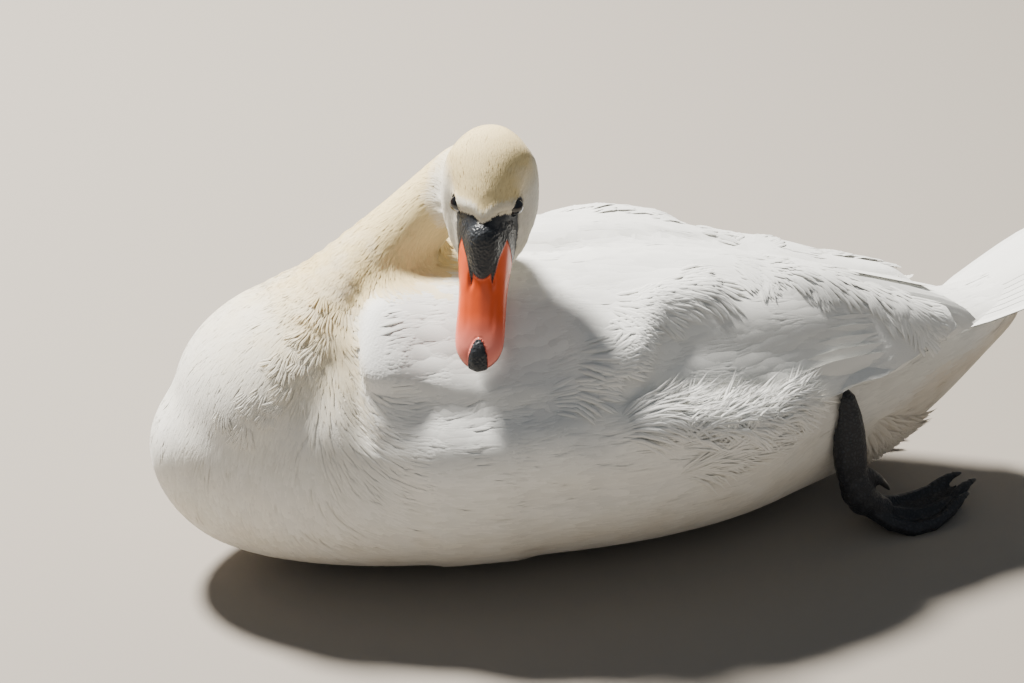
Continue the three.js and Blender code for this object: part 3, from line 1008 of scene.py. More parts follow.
vaneProfile = [(0.0, 0.4, -0.3), (0.2, 0.85, 0.6), (0.55, 1.0, 0.95), (0.86, 0.74, 0.95), (1.0, 0, 0.8)]
silkProfile = [(0.0, 0.5, -0.3), (0.4, 1.0, 0.8), (0.8, 0.75, 0.9), (1.0, 0, 0.75)]
shortProfile = [(0.0, 0.7, -0.2), (0.5, 1.0, 0.85), (1.0, 0, 0.9)]

# what grows on each CAD node's part of the skin, in millimetres
tuftSizes = dict(
    head=dict(length=5.5, width=1.0, lift=0.5),
    neck_upper=dict(length=10, width=1.25, lift=0.6),
    neck_lower=dict(length=15, width=1.8, lift=0.75),
    trunk=dict(length=24, width=2.5, lift=0.55),
    wing_left=dict(length=28, width=2.8, lift=0.45),
    wing_right=dict(length=28, width=2.8, lift=0.45),
    tail=dict(length=28, width=3.0, lift=0.5),
)


def fieldOf(key):
    return sum(tuftSizes[node][key] * faceShare[node] for node in fleshNodes)


faceLength, faceWidth, faceLift = fieldOf("length"), fieldOf("width"), fieldOf("lift")
faceBare = faceMean(bareSkin[loopVertex][:, None])[:, 0]
feathered = faceBare < 0.5
faceLocal = toHead(faceSpot) / mm
blunt = faceMean(bluntness[loopVertex][:, None])[:, 0]
rooted = ramp(blunt, 0.55, 0.35)
underBill = (faceLocal[:, 0] > 44) & (np.abs(faceLocal[:, 1]) < 26) & (faceLocal[:, 0] < 90)


def waves(places, size, seed):
    # a smooth pattern of about -1 to 1 over space
    local = np.random.default_rng(seed)
    total = np.zeros(len(places))
    for _ in range(6):
        heading = unit(local.normal(size=3)) * local.uniform(0.6, 1.4) * 2 * math.pi / size
        total += np.sin(places @ heading + local.uniform(0, 6.28))
    return total / 3.2


def addCoat(name, mesh, finish=None):
    mesh.materials.append(finish or featherLook)
    coat = newObject(name, mesh, smooth=False)
    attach(coat, "root")
    say(f"{name}: {len(mesh.polygons)} triangles")
    return coat


def growCoat(name, where, cover, profile=silkProfile, spreadAngle=0.1, longer=1, wider=1, lower=1, **shape):
    density = cover * where / (faceLength * longer * faceWidth * wider)
    count = int(np.sum(density * faceArea) / mm**2)
    roots, faces = scatter(density, count)
    vary = randomness.uniform(0.85, 1.15, (3, count))
    lean = randomness.normal(0, spreadAngle, count) + 0.16 * waves(roots, 45 * mm, 3)
    mesh = growFeathers(
        name,
        roots,
        faces,
        turned(faceLie[faces], faceNormal[faces], lean),
        faceLength[faces] * longer * mm * vary[0],
        faceWidth[faces] * wider * mm * vary[1],
        faceLift[faces] * lower * mm * vary[2],
        profile,
        **shape,
    )
    return addCoat(name, mesh)


most = np.array([faceShare[node] for node in fleshNodes]).argmax(axis=0)
isHead = most == fleshNodes.index("head")
region = {node: (most == i) * feathered * ~(underBill & isHead) * rooted for i, node in enumerate(fleshNodes)}
region["tail"] = region["tail"] * ramp(faceSpot[:, 0], 0.30, 0.27)
for node in ("wing_left", "wing_right"):  # the quills take over towards the tips of the wings
    region[node] = region[node] * ramp(faceSpot[:, 0], 0.135, 0.11)
nearSide = faceSpot[:, 1] < 0
patches = {  # one piece of the coat grows on each
    "head": region["head"],
    "neck": region["neck_upper"],
    "breast": region["neck_lower"],
    "trunk_left": region["trunk"] * nearSide,
    "trunk_right": region["trunk"] * ~nearSide,
    "wing_left": region["wing_left"],
    "wing_right": region["wing_right"],
    "tail": region["tail"],
}
body = region["neck_lower"] + region["trunk"]
openSkin = np.ones(faceCount)  # no broad vanes at the sharpest folds
for name, near, far in (("shoulder", 22, 44), ("flank", 12, 26)):
    line = folds[name]["line"]
    both = np.vstack([smoothLine(line), smoothLine(mirroredLine(line))])
    openSkin *= ramp(nearLine(faceSpot, both)[0], near * mm, far * mm)
wings = (region["wing_left"] + region["wing_right"]) * ramp(faceSpot[:, 0], 0.11, 0.08) + region["tail"]
broadPatches = dict(neck=region["head"] + region["neck_upper"], body=body * openSkin, wings=wings * openSkin)

# broad vanes below: cover is how many layers lie over each other, longer and wider are against the tufts
broad = dict(profile=vaneProfile, across=5, camber=0.04, relief=0.15, lower=0.6)
broadCoats = dict(
    neck=dict(cover=2.2, longer=1.0, wider=2.6),
    body=dict(cover=3, longer=1.2, wider=4),
    wings=dict(cover=3.5, longer=1.6, wider=5),
)
for name, settings in broadCoats.items():
    growCoat("vanes_" + name, broadPatches[name], **settings, **broad)

# fine tufts over them
covers = dict(head=5, neck=5, breast=7, trunk_left=4.3, trunk_right=4.4, wing_left=6, wing_right=6, tail=2)
for name, where in patches.items():
    growCoat("coat_" + name, where, covers[name], shortProfile if name == "head" else silkProfile, 0.07)

# ruffled feathers

ruffleProfile = [(0.0, 0.5, -0.1), (0.3, 1.0, 0.3), (0.65, 0.85, 0.75), (1.0, 0, 1.1)]
hangProfile = [(0.0, 0.5, 0.0), (0.35, 1.0, 0.75), (0.75, 0.8, 1.0), (1.0, 0, 0.9)]

# rows of locks: points along a row, how the locks lie, how many there are, and their sizes in millimetres
ruffles = dict(
    flank=dict(
        line=[
            (-0.073, -0.149, 0.162),
            (-0.011, -0.150, 0.160),
            (0.039, -0.144, 0.150),
            (0.066, -0.133, 0.152),
        ],
        heading=(1, 0, 0.62),
        locks=74,
        length=40,
        width=2.6,
        lift=9,
        jitter=11,
        curl=0.4,
        profile=ruffleProfile,
    ),
    thigh=dict(
        line=[
            (-0.030, -0.145, 0.118),
            (0.010, -0.145, 0.124),
            (0.040, -0.142, 0.128),
            (0.062, -0.132, 0.136),
        ],
        heading=(1, 0, 0.48),
        locks=44,
        length=44,
        width=2.6,
        lift=5,
        jitter=12,
        curl=0.3,
        profile=ruffleProfile,
    ),
    scapulars=dict(
        line=[
            (-0.112, -0.137, 0.185),
            (-0.066, -0.112, 0.214),
            (-0.044, -0.085, 0.232),
            (-0.008, -0.074, 0.236),
            (0.022, -0.066, 0.236),
        ],
        heading=(1, -0.12, -0.12),
        locks=46,
        length=26,
        width=3.6,
        lift=2.0,
        jitter=15,
        curl=0.1,
        profile=hangProfile,
    ),
    coverts=dict(
        line=[
            (0.045, -0.050, 0.236),
            (0.088, -0.050, 0.228),
            (0.138, -0.056, 0.209),
            (0.180, -0.060, 0.190),
            (0.206, -0.064, 0.178),
        ],
        heading=(1, -0.25, -0.75),
        locks=44,
        length=24,
        width=3.4,
        lift=2.0,
        jitter=14,
        curl=0.3,
        profile=hangProfile,
    ),
    vent=dict(
        line=[(0.160, -0.062, 0.080), (0.174, -0.055, 0.070), (0.186, -0.044, 0.062), (0.198, -0.028, 0.060)],
        heading=(0.7, 0.05, -0.7),
        locks=46,
        length=26,
        width=3.6,
        lift=6.5,
        jitter=16,
        curl=0.1,
        profile=ruffleProfile,
        beyond=1,
    ),
    breast=dict(
        line=[
            (-0.270, -0.040, 0.240),
            (-0.276, -0.056, 0.220),
            (-0.298, -0.069, 0.204),
            (-0.3275, -0.071, 0.188),
            (-0.345, -0.071, 0.170),
        ],
        heading=(-0.5, -0.2, -1),
        locks=40,
        length=15,
        width=1.6,
        lift=1.9,
        jitter=22,
        curl=0.1,
        profile=hangProfile,
    ),
)


# how the blades of a lock fan out
lockFan = dict(apart=0.22, lean=0.22, shorter=0.22, bend=0.2, turn=0.16, slide=0.12, reach=14 * mm)


def growLocks(
    name, side, line, heading, locks, length, width, lift, jitter, curl, profile, blades=13, beyond=0.3
):
    # locks of fine blades along a row, each fanned out a little
    run = smoothLine([(x, y * side, z) for x, y, z in line])
    wanted = run[randomness.integers(0, len(run), locks)]
    wanted = wanted + randomness.normal(0, jitter * mm * 0.5, (locks, 3))
    centre, faces = onSkin(wanted)
    close = (np.linalg.norm(centre - wanted, axis=1) < lockFan["reach"]) & (blunt[faces] < 0.5)
    centre, faces, locks = centre[close], faces[close], int(close.sum())
    normal = faceNormal[faces]
    heading = np.array([heading[0], heading[1] * side, heading[2]], float)
    ahead = flattened(np.tile(heading, (locks, 1)), normal)
    ahead = turned(ahead, normal, randomness.normal(0, lockFan["turn"], locks))
    across = np.cross(normal, ahead)
    place = np.tile(np.linspace(-1, 1, blades), locks) + randomness.normal(0, 0.1, locks * blades)
    owner = np.repeat(np.arange(locks), blades)
    slide = randomness.uniform(-lockFan["slide"], lockFan["slide"], locks * blades) * length * mm
    apart = place * width * blades * lockFan["apart"] * mm
    roots = centre[owner] + across[owner] * apart[:, None] + ahead[owner] * slide[:, None]
    roots, faces = onSkin(roots)
    normal = faceNormal[faces]
    lean = lockFan["lean"] * place + randomness.normal(0, 0.05, len(roots))
    size = randomness.uniform(0.8, 1.2, locks)[owner] * (1 - lockFan["shorter"] * place**2)
    size *= randomness.uniform(0.9, 1.1, len(roots))
    height = randomness.uniform(0.5, 1.2, locks)[owner]
    bend = (randomness.normal(curl, 0.25, locks)[owner] - lockFan["bend"] * place) * side * -1
    return growFeathers(
        name,
        roots,
        faces,
        turned(ahead[owner], normal, lean),
        length * mm * size,
        np.full(len(roots), width * mm),
        lift * mm * height,
        profile,
        curl=bend,
        camber=0.2,
        relief=0.6,
        beyond=beyond,
    )


# the fuzzy edge of the forehead above the knob, in millimetres of the head's frame
browLine = [
    (17, -21, 12),
    (21, -14, 20),
    (24.5, -7, 24),
    (29, 0, 25),
    (24.5, 7, 24),
    (21, 14, 20),
    (17, 21, 12),
]
browRow = dict(
    line=fromHead(np.array(browLine) * mm),
    heading=tuple(billAxis),
    locks=90,
    length=3.6,
    width=0.6,
    lift=0.9,
    jitter=1.6,
    curl=0.0,
    profile=ruffleProfile,
    blades=5,
)
addCoat("locks_brow", growLocks("locks_brow", 1, **browRow))

for row, settings in ruffles.items():
    for name, side in (("left", 1), ("right", -1)):
        addCoat("locks_" + row + "_" + name, growLocks("locks_" + row + "_" + name, side, **settings))

# tail and wing quills

# profile rows: share of the length and of the width
quillSettings = dict(
    thick=0.9 * mm,
    shaft=0.5 * mm,
    sweep=0.22,
    relief=0.22,
    profile=[
        (0.0, 0.45),
        (0.12, 0.7),
        (0.3, 0.95),
        (0.5, 1.0),
        (0.7, 0.98),
        (0.84, 0.86),
        (0.93, 0.64),
        (0.98, 0.36),
        (1.0, 0),
    ],
)

tailSettings = dict(
    root=(0.2137, 0.0, 0.133),
    feathers=15,
    spreadAngle=math.radians(1.75),
    step=2.3 * mm,
    longest=212 * mm,
    shortest=152 * mm,
    width=25 * mm,
    start=0.2,  # share of its length hidden at the root
    apart=3.4 * mm,  # each layer from the middle of the fan, less by thinner for each feather outwards
    thinner=0.55 * mm,
    droop=0.35 * mm,
)
quillLook = plumageLook("stiff_quills", 0.05, 0.0003, barbs=0.2)


def quillMesh(name, roots, directions, ups, lengths, width, bend, across=7):
    # straight stiff vanes, closed, with a raised shaft
    rows, shading, uvRows, vaneRows = [], [], [], []
    side = np.cross(ups, directions)
    thick, shaft, profile = quillSettings["thick"], quillSettings["shaft"], quillSettings["profile"]
    for along, wide in profile:
        middle = roots + directions * (lengths * along)[:, None] - ups * (bend * along**2 * lengths)[:, None]
        for t in np.linspace(1, -1, across) if wide > 0 else (0,):
            sweep = directions * (-quillSettings["sweep"] * width * wide * abs(t))
            height = thick * (1 - t * t) + shaft * (abs(t) < 0.1)
            rows.append(middle + side * (0.5 * width * wide * t) + sweep + ups * height)
            shading.append(ups + side * quillSettings["relief"] * t)
            uvRows.append((0.5 * t * wide, along - 0.5))
            vaneRows.append((t * wide, along))
    corners = np.stack(rows, 1)
    middle = roots + directions * (lengths * 0.5)[:, None]
    _, faces = onSkin(middle)
    uv = faceUV[faces][:, None] + patch * np.array(uvRows)[None]
    vane = vanePaint(vaneRows, randomness.random(len(roots)))
    wash = washOf(middle) * 0.3
    template = featherTemplate(across, len(profile) - 1)
    return coatMesh(name, corners, np.stack(shading, 1), template, uv, vane.reshape(-1, 3), wash)


def growTail(name, over):
    # one layer of the fan: over 1 is its upper face, -1 its lower one
    count = tailSettings["feathers"]
    place = np.arange(count) - (count - 1) / 2
    rank = np.abs(place) / ((count - 1) / 2)
    longest, shortest = tailSettings["longest"], tailSettings["shortest"]
    length = longest + (shortest - longest) * rank**1.6
    heading = place * tailSettings["spreadAngle"]
    flat = np.array([math.cos(tailRise), 0, math.sin(tailRise)])
    up = np.array([-math.sin(tailRise), 0, math.cos(tailRise)])
    directions = np.cos(heading)[:, None] * flat + np.sin(heading)[:, None] * np.array([0, 1, 0])
    start = tailSettings["start"]
    roots = np.array(tailSettings["root"]) + directions * (length * start)[:, None]
    roots = roots + np.stack([np.zeros(count), place * tailSettings["step"], np.zeros(count)], 1)
    outer = np.abs(place)
    layer = over * (tailSettings["apart"] - tailSettings["thinner"] * outer) - tailSettings["droop"] * outer
    roots = roots + up * layer[:, None]
    ups = np.tile(up * over, (count, 1))
    mesh = quillMesh(name, roots, directions, ups, length * (1 - start), tailSettings["width"], 0.0)
    return addCoat(name, mesh, quillLook)


growTail("tail_quills_above", 1)
growTail("tail_quills_below", -1)

# long stiff feathers that end each wing, from the lowest to the highest
wingQuills = dict(
    roots=[(0.085, -0.112, 0.160), (0.100, -0.085, 0.188), (0.100, -0.055, 0.208), (0.090, -0.020, 0.224)],
    tips=[
        (0.184, -0.083, 0.152),
        (0.220, -0.066, 0.160),
        (0.250, -0.053, 0.162),
        (0.240, -0.045, 0.1735),
        (0.224, -0.027, 0.185),
    ],
    count=12,
    width=23,
    sink=-3.0,  # the lowest root below the skin, in millimetres as width and step are
    step=0.13,  # each quill above the one below it
    hang=dict(left=0.0, right=0.027),  # how far the tips hang down
)


def growWingQuills(name, side):
    count = wingQuills["count"]
    turn = 1 if side == "left" else -1
    roots, tips = (smoothLine([(x, y * turn, z) for x, y, z in wingQuills[k]], 30) for k in ("roots", "tips"))
    pick = [np.linspace(2, len(line) - 1, count).astype(int) for line in (roots, tips)]
    roots, faces = onSkin(roots[pick[0]])
    ends = tips[pick[1]] - np.array([0, 0, wingQuills["hang"][side]])
    rise = np.linspace(0.1, 1, count)[:, None]
    level = np.array([0.2, -turn, -0.05])
    out = unit(faceNormal[faces] * rise + level * (1 - rise))  # the lowest quills stand upright
    for _ in range(2):  # neighbours turn outwards alike
        below, above = np.vstack([out[:1], out[:-1]]), np.vstack([out[1:], out[-1:]])
        out = unit(out + 0.3 * (below + above))
    ups = flattened(out, unit(ends - roots))
    over = wingQuills["step"] * np.arange(count)
    roots = roots + ups * ((wingQuills["sink"] + over) * mm)[:, None]
    aim = ends + ups * (over * mm)[:, None] - roots
    directions = unit(aim)
    ups = flattened(ups, directions)
    length = np.linalg.norm(aim, axis=1)
    mesh = quillMesh(name, roots, directions, ups, length, wingQuills["width"] * mm, 0.02)
    return addCoat(name, mesh, quillLook)


growWingQuills("wing_quills_left", "left")
growWingQuills("wing_quills_right", "right")

# bill

billSettings = dict(
    voxel=0.9 * mm,
    puff=0.6 * mm,
    horn=(0.84, 0.105, 0.02, 1),
    deepHorn=(0.72, 0.09, 0.02, 1),
    blush=(0.88, 0.27, 0.22, 1),
    lip=(0.05, 0.02, 0.018, 1),
    # the bill's black, a little lighter and bluer than black: black horn with a painted blue-grey sheen
    black=(0.020, 0.023, 0.028, 1),
    # in millimetres
    relief=dict(knob=0.35, nail=0.5, nailGroove=0.35, nostril=1.7, sideGroove=0.35, ridge=0.3),
)


def billMasks(local):
    # shares of black, pink, nail and dark edge, by place on the bill in millimetres
    x, y, z = local.T
    side = np.abs(y)
    knob = ramp(17.4 - 0.37 * np.clip(x - 40, 0, 60) - side, -0.5, 0.5) * ramp(x + 0.11 * y**2, 70.5, 69.3)
    knob *= ramp(z, -6, -2)
    notch = ramp(2.2 - 0.22 * (x - 63) - np.abs(side - 7.9), -0.4, 0.4) * ramp(x, 75, 73) * ramp(z, -4, -1)
    base = ramp(39 + 0.8 * np.clip(8 - z, -4, 20) - x, -0.7, 0.7)
    nail = ramp(7.2 * np.sqrt(np.clip((x - 112) / 14, 0, 1)) - side, -0.3, 0.3) * ramp(x, 111.8, 113.2)
    edge = ramp(z, -12.2, -13.4) * 0.8
    black = np.maximum.reduce([knob, notch, base, nail])
    return black, ramp(x, 92, 122) * (1 - nail), nail, np.clip(edge, 0, 1)


def makeBill(name, node, puff):
    bill = moulded(name, [node], puff, billSettings["voxel"])
    mesh = bill.data
    spots, seams = vertexArray(mesh), edgeArray(mesh)
    spots = spread(spots, seams, 5)
    setVertices(mesh, spots)
    facing = unit(spread(normalArray(mesh), seams, 3))
    spots -= facing * puff
    local = toHead(spots) / mm
    black, pink, nail, edge = billMasks(local)
    x, y, z = local.T
    side = np.abs(y)
    rise = np.zeros(len(spots))
    if node == "bill_upper":
        relief = billSettings["relief"]
        rise += relief["knob"] * black * (1 - nail) * ramp(x, 80, 60)  # the fleshy knob stands over the horn
        nailEdge = 7.6 * np.sqrt(np.clip((x - 111) / 14, 0, 1))
        groove = relief["nailGroove"] * np.exp(-(((side - nailEdge) / 0.9) ** 2)) * (x > 111)
        rise += relief["nail"] * nail - groove
        rise -= relief["nostril"] * np.exp(-(((x - 71) / 5) ** 2 + ((side - 8.2) / 1.6) ** 2)) * (z > -4)
        along = ramp(x, 72, 80) * ramp(x, 112, 100)
        rise -= relief["sideGroove"] * np.exp(-(((side - 10.5 + 0.03 * (x - 75)) / 2.2) ** 2)) * along
        rise += relief["ridge"] * np.exp(-((y / 4.5) ** 2)) * ramp(x, 72, 82) * ramp(x, 112, 100)
    spots += facing * (rise * mm)[:, None]
    setVertices(mesh, spread(spots, seams, 1))
    paintPoints(mesh, "marking", np.stack([black, pink, edge], 1))
    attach(bill, "root")
    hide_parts(node)
    mesh.shade_smooth()
    return bill


def hornLook(name):
    look = Look(name, Coat_Weight=0.0, Specular_IOR_Level=0.5)
    tree = look.tree
    marking = look.node("ShaderNodeSeparateXYZ", Vector=look.attribute("marking").outputs["Vector"])
    blotches = noiseNode(tree, 90, 4)
    deeper = mathNode(tree, "MULTIPLY", blotches, 0.5)
    blush = mathNode(tree, "MULTIPLY", marking.outputs[1], 0.8)
    lip = mathNode(tree, "MULTIPLY", marking.outputs[2], 0.75)
    colour = mixColour(tree, deeper, billSettings["horn"], billSettings["deepHorn"])
    colour = mixColour(tree, blush, colour, billSettings["blush"])
    colour = mixColour(tree, lip, colour, billSettings["lip"])
    # black at the knob, base, notch and nail, with its painted blue-grey sheen
    colour = mixColour(tree, marking.outputs[0], colour, billSettings["black"])
    look.feed(look.shader, "Base Color", colour)
    pebbles = cellNode(tree, 520, "SMOOTH_F1")
    pores = noiseNode(tree, 900, 3)
    fine = mathNode(tree, "MULTIPLY", pores, 0.08)
    wrinkles = noiseNode(tree, 260, 5)
    rough = mathNode(tree, "ADD", pebbles, mathNode(tree, "MULTIPLY", wrinkles, 1.2))
    coarse = mathNode(tree, "MULTIPLY", rough, marking.outputs[0])
    look.bump(mathNode(tree, "ADD", fine, coarse), 0.8, 0.0010)
    gloss = mathNode(tree, "ADD", 0.24, mathNode(tree, "MULTIPLY", blotches, 0.14))
    gloss = mathNode(tree, "ADD", gloss, mathNode(tree, "MULTIPLY", marking.outputs[0], 0.10))
    look.feed(look.shader, "Roughness", gloss)
    return look.material


horn = hornLook("bill_horn")
for name, node in (("upper_bill", "bill_upper"), ("lower_bill", "bill_lower")):
    bill = makeBill(name, node, billSettings["puff"])
    bill.data.materials.append(horn)
say("bill")

# eyes

# outward is the eye's axis in the head's frame. the pupil and the iris end between these angles from it
eyeSettings = dict(
    grow=1.02,
    bulge=1.1,  # of the cornea, in millimetres
    outward=(0.28, 1, 0.1),
    pupil=(24, 28),
    iris=(42, 48),
    black=(0.002, 0.002, 0.002, 1),
    deepBrown=(0.010, 0.006, 0.004, 1),
    brown=(0.022, 0.012, 0.008, 1),
    rim=(0.006, 0.005, 0.005, 1),
)


def makeEye(name, node):
    centre = middleOf(node)
    low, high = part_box(node)
    radius = max(high - low) / 2 * eyeSettings["grow"]
    form = bmesh.new()
    bmesh.ops.create_uvsphere(form, u_segments=40, v_segments=28, radius=radius)
    ahead, aside, above = eyeSettings["outward"]
    outward = headTurn @ Vector((ahead, aside if "left" in node else -aside, above)).normalized()
    turn = outward.to_track_quat("Z", "Y")
    for vertex in form.verts:
        depth = vertex.co.z / radius
        if depth > 0.5:
            vertex.co += Vector((0, 0, (depth - 0.5) * eyeSettings["bulge"] * mm))
        vertex.co = turn @ vertex.co + centre
    mesh = bpy.data.meshes.new(name)
    form.to_mesh(mesh)
    form.free()
    eye = newObject(name, mesh)
    spots = vertexArray(mesh)
    angle = np.degrees(np.arccos(np.clip(unit(spots - np.array(centre)) @ np.array(outward), -1, 1)))
    iris = ramp(angle, *eyeSettings["pupil"])
    rim = ramp(angle, *eyeSettings["iris"])
    paintPoints(mesh, "marking", np.stack([iris, rim, np.zeros(len(iris))], 1))
    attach(eye, "root")
    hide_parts(node)
    return eye


def eyeLook(name):
    look = Look(name, Roughness=0.05, Coat_Weight=1.0, Coat_Roughness=0.02)
    tree = look.tree
    marking = look.node("ShaderNodeSeparateXYZ", Vector=look.attribute("marking").outputs["Vector"])
    flecks = noiseNode(tree, 1200, 3)
    brown = mixColour(tree, flecks, eyeSettings["deepBrown"], eyeSettings["brown"])
    inside = mixColour(tree, marking.outputs[0], eyeSettings["black"], brown)
    colour = mixColour(tree, marking.outputs[1], inside, eyeSettings["rim"])
    look.feed(look.shader, "Base Color", colour)
    return look.material


darkEye = eyeLook("dark_eye")
for node in ("eye_left", "eye_right"):
    makeEye("ball_" + node, node).data.materials.append(darkEye)
say("eyes")

# legs and feet

# claws at the tips of the toes and of the spur. length, radius, droop and knuckles are in millimetres
claws = dict(
    length=14,
    radius=3.2,
    droop=3.0,
    back=2 * mm,
    knuckles=[(2, 3.3), (6, 3.7), (10, 3.9), (15, 4.0)],  # balls that fill out a toe behind its claw
    black=(0.010, 0.011, 0.013, 1),
    grey=(0.045, 0.043, 0.042, 1),
    toes=[  # where the claw starts, and its heading
        ((0.2352, -0.0800, 0.0175), (20, 11, 10)),
        ((0.2472, -0.0630, 0.0195), (22, 11, 9)),
        ((0.2392, -0.0465, 0.0185), (22, 5, 8)),
        ((0.1660, -0.0785, 0.0440), (14, 3, -12)),
    ],
)

legSettings = dict(
    voxel=1.4 * mm,
    puff=1.8 * mm,
    shrink=0.5,
    rounds=3,
    rightForward=26 * mm,  # the right foot is the left one's mirror image, moved forwards
    ankle=(0.148, -0.083, 0.034),
    # balls that round the ankle, in millimetres from it: ahead, up and radius
    ankleBalls=[(-6, 14, 11.5), (-3, 6, 12.5), (2, -2, 12), (9, -7, 10.5), (18, -12, 8.5)],
    # a toe's tip is drawn back into its claw, between start and reach along the claw's axis and aside from it
    blunt=dict(start=4 * mm, aside=7 * mm, reach=24 * mm, share=0.85),
    groove=(0.012, 0.013, 0.016, 1),
    dark=(0.018, 0.021, 0.027, 1),
    pale=(0.05, 0.058, 0.07, 1),
)


def footPlace(side, spot):
    # a place on the left foot, or the like one on the right foot
    turn, forward = (1, 0) if side == "left" else (-1, legSettings["rightForward"])
    return Vector((spot[0] - forward, spot[1] * turn, spot[2]))


def clawPlace(side, start, heading):
    turn = 1 if side == "left" else -1
    return footPlace(side, start), Vector((heading[0], heading[1] * turn, heading[2])).normalized()


def makeLeg(side):
    name = "shank_and_foot_" + side
    nodes = ["leg_" + side, "foot_" + side]
    ankle = footPlace(side, legSettings["ankle"])
    joints = [(ankle + Vector((x, 0, z)) * mm, r * mm) for x, z, r in legSettings["ankleBalls"]]
    toes = [clawPlace(side, *toe) for toe in claws["toes"]]
    for start, heading in toes:
        joints += [(start - heading * (back * mm), r * mm) for back, r in claws["knuckles"]]
    leg = moulded(name, nodes, legSettings["puff"], legSettings["voxel"], levels=0, balls=joints)
    mesh = leg.data
    spots, seams = vertexArray(mesh), edgeArray(mesh)
    spots = spread(spots, seams, legSettings["rounds"])
    setVertices(mesh, spots)
    facing = unit(spread(normalArray(mesh), seams, 2))
    spots -= facing * (legSettings["puff"] * legSettings["shrink"])
    blunt = legSettings["blunt"]
    for start, heading in toes:
        offset = spots - np.array(start)
        along = offset @ np.array(heading)
        aside = np.linalg.norm(offset - along[:, None] * np.array(heading), axis=1)
        past = np.maximum(along - blunt["start"], 0) * (aside < blunt["aside"]) * (along < blunt["reach"])
        spots -= np.array(heading) * (past * blunt["share"])[:, None]
    spots[:, 2] = np.maximum(spots[:, 2], 0)
    setVertices(mesh, spots)
    mesh.shade_smooth()
    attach(leg, "root")
    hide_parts(*nodes)
    return leg


def scaleLook(name):
    look = Look(name, Specular_IOR_Level=0.4)
    tree = look.tree
    plates = cellNode(tree, 330, "DISTANCE_TO_EDGE")
    creases = noiseNode(tree, 60, 4, (3.0, 3.0, 0.5))
    ridges = mathNode(tree, "MULTIPLY", plates, 2.0, clamp=True)
    colour = mixColour(tree, creases, legSettings["dark"], legSettings["pale"])
    look.feed(look.shader, "Base Color", mixColour(tree, ridges, legSettings["groove"], colour))
    look.bump(mathNode(tree, "ADD", ridges, mathNode(tree, "MULTIPLY", creases, 2.5)), 0.6, 0.0008)
    rough = mathNode(tree, "ADD", 0.42, mathNode(tree, "MULTIPLY", creases, 0.2))
    look.feed(look.shader, "Roughness", rough)
    return look.material


scalySkin = scaleLook("scaly_skin")
for side in ("left", "right"):
    makeLeg(side).data.materials.append(scalySkin)


def makeClaws(side):
    form = bmesh.new()
    for toe in claws["toes"]:
        start, heading = clawPlace(side, *toe)
        start -= heading * claws["back"]
        made = bmesh.ops.create_uvsphere(form, u_segments=16, v_segments=14, radius=1)
        facing = heading.to_track_quat("Z", "Y")
        for vertex in made["verts"]:
            x, y, z = vertex.co
            along = (z + 1) / 2
            ring = math.sqrt(max(1 - along**1.5, 0)) / max(math.sqrt(1 - z * z), 0.2) * claws["radius"]
            spot = facing @ Vector((x * ring * 0.85, y * ring, along * claws["length"]))
            vertex.co = start + (spot - Vector((0, 0, claws["droop"] * along**2))) * mm
    mesh = bpy.data.meshes.new("claws_" + side)
    form.to_mesh(mesh)
    form.free()
    nails = newObject("claws_" + side, mesh)
    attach(nails, "root")
    return nails


def clawLook(name):
    look = Look(name, Specular_IOR_Level=0.5)
    tree = look.tree
    streaks = noiseNode(tree, 500, 3, (0.4, 1.5, 1.5))
    look.feed(look.shader, "Base Color", mixColour(tree, streaks, claws["black"], claws["grey"]))
    rough = mathNode(tree, "ADD", 0.22, mathNode(tree, "MULTIPLY", streaks, 0.2))
    look.feed(look.shader, "Roughness", rough)
    return look.material


blackClaw = clawLook("black_claw")
for side in ("left", "right"):
    makeClaws(side).data.materials.append(blackClaw)
say("legs, feet and claws")

# camera, light and floor

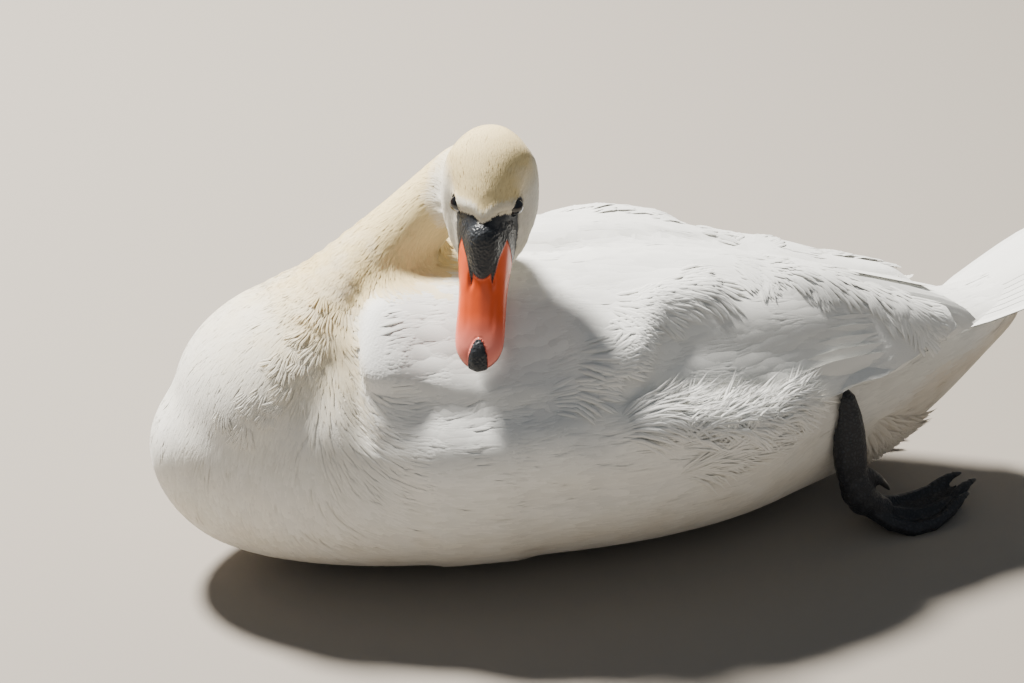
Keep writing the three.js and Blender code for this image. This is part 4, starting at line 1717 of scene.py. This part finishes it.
viewSettings = dict(
    azimuth=-15,
    elevation=28,
    distance=2.6,
    target=(-0.1163, 0, 0.168),
    lens=117.46,
    sensor=36,
)
lights = dict(
    key=dict(azimuth=214, elevation=57, distance=3.2, size=0.55, power=520, colour=(1, 0.965, 0.9)),
    fill=dict(azimuth=-20, elevation=35, distance=3.5, size=2.5, power=10, colour=(1, 0.97, 0.92)),
)
studio = dict(
    air=(0.74, 0.86, 1, 1),
    airStrength=0.17,
    floor=(0.30, 0.27, 0.235, 1),
    floorRoughness=0.9,
    floorSize=20,
)


def lookAt(thing, target):
    thing.rotation_mode = "QUATERNION"
    thing.rotation_quaternion = (Vector(target) - thing.location).to_track_quat("-Z", "Y")


def outwards(azimuth, elevation):
    turn, lift = math.radians(azimuth), math.radians(elevation)
    return Vector((math.sin(turn) * math.cos(lift), -math.cos(turn) * math.cos(lift), math.sin(lift)))


def makeCamera():
    camera = bpy.data.objects.new("camera", bpy.data.cameras.new("camera"))
    bpy.context.scene.collection.objects.link(camera)
    away = outwards(viewSettings["azimuth"], viewSettings["elevation"])
    camera.location = Vector(viewSettings["target"]) + away * viewSettings["distance"]
    camera.data.lens = viewSettings["lens"]
    camera.data.sensor_width = viewSettings["sensor"]
    lookAt(camera, viewSettings["target"])
    bpy.context.scene.camera = camera


def softLight(name, azimuth, elevation, distance, size, power, colour):
    lamp = bpy.data.lights.new(name, "AREA")
    lamp.shape = "DISK"
    lamp.size = size
    lamp.energy = power
    lamp.color = colour
    light = bpy.data.objects.new(name, lamp)
    bpy.context.scene.collection.objects.link(light)
    light.location = Vector(viewSettings["target"]) + outwards(azimuth, elevation) * distance
    lookAt(light, viewSettings["target"])


def makeAir():
    world = bpy.data.worlds.new("studio")
    bpy.context.scene.world = world
    world.use_nodes = True
    background = world.node_tree.nodes["Background"]
    background.inputs["Color"].default_value = studio["air"]
    background.inputs["Strength"].default_value = studio["airStrength"]


def makeFloor():
    form = bmesh.new()
    bmesh.ops.create_grid(form, x_segments=1, y_segments=1, size=studio["floorSize"])
    mesh = bpy.data.meshes.new("floor")
    form.to_mesh(mesh)
    form.free()
    floor = newObject("floor", mesh, smooth=False)
    look = Look("pale_floor", Base_Color=studio["floor"], Roughness=studio["floorRoughness"])
    mesh.materials.append(look.material)
    return floor


makeCamera()
for name, settings in lights.items():
    softLight(name, **settings)
makeAir()
floor = makeFloor()
say("camera, lights and floor")
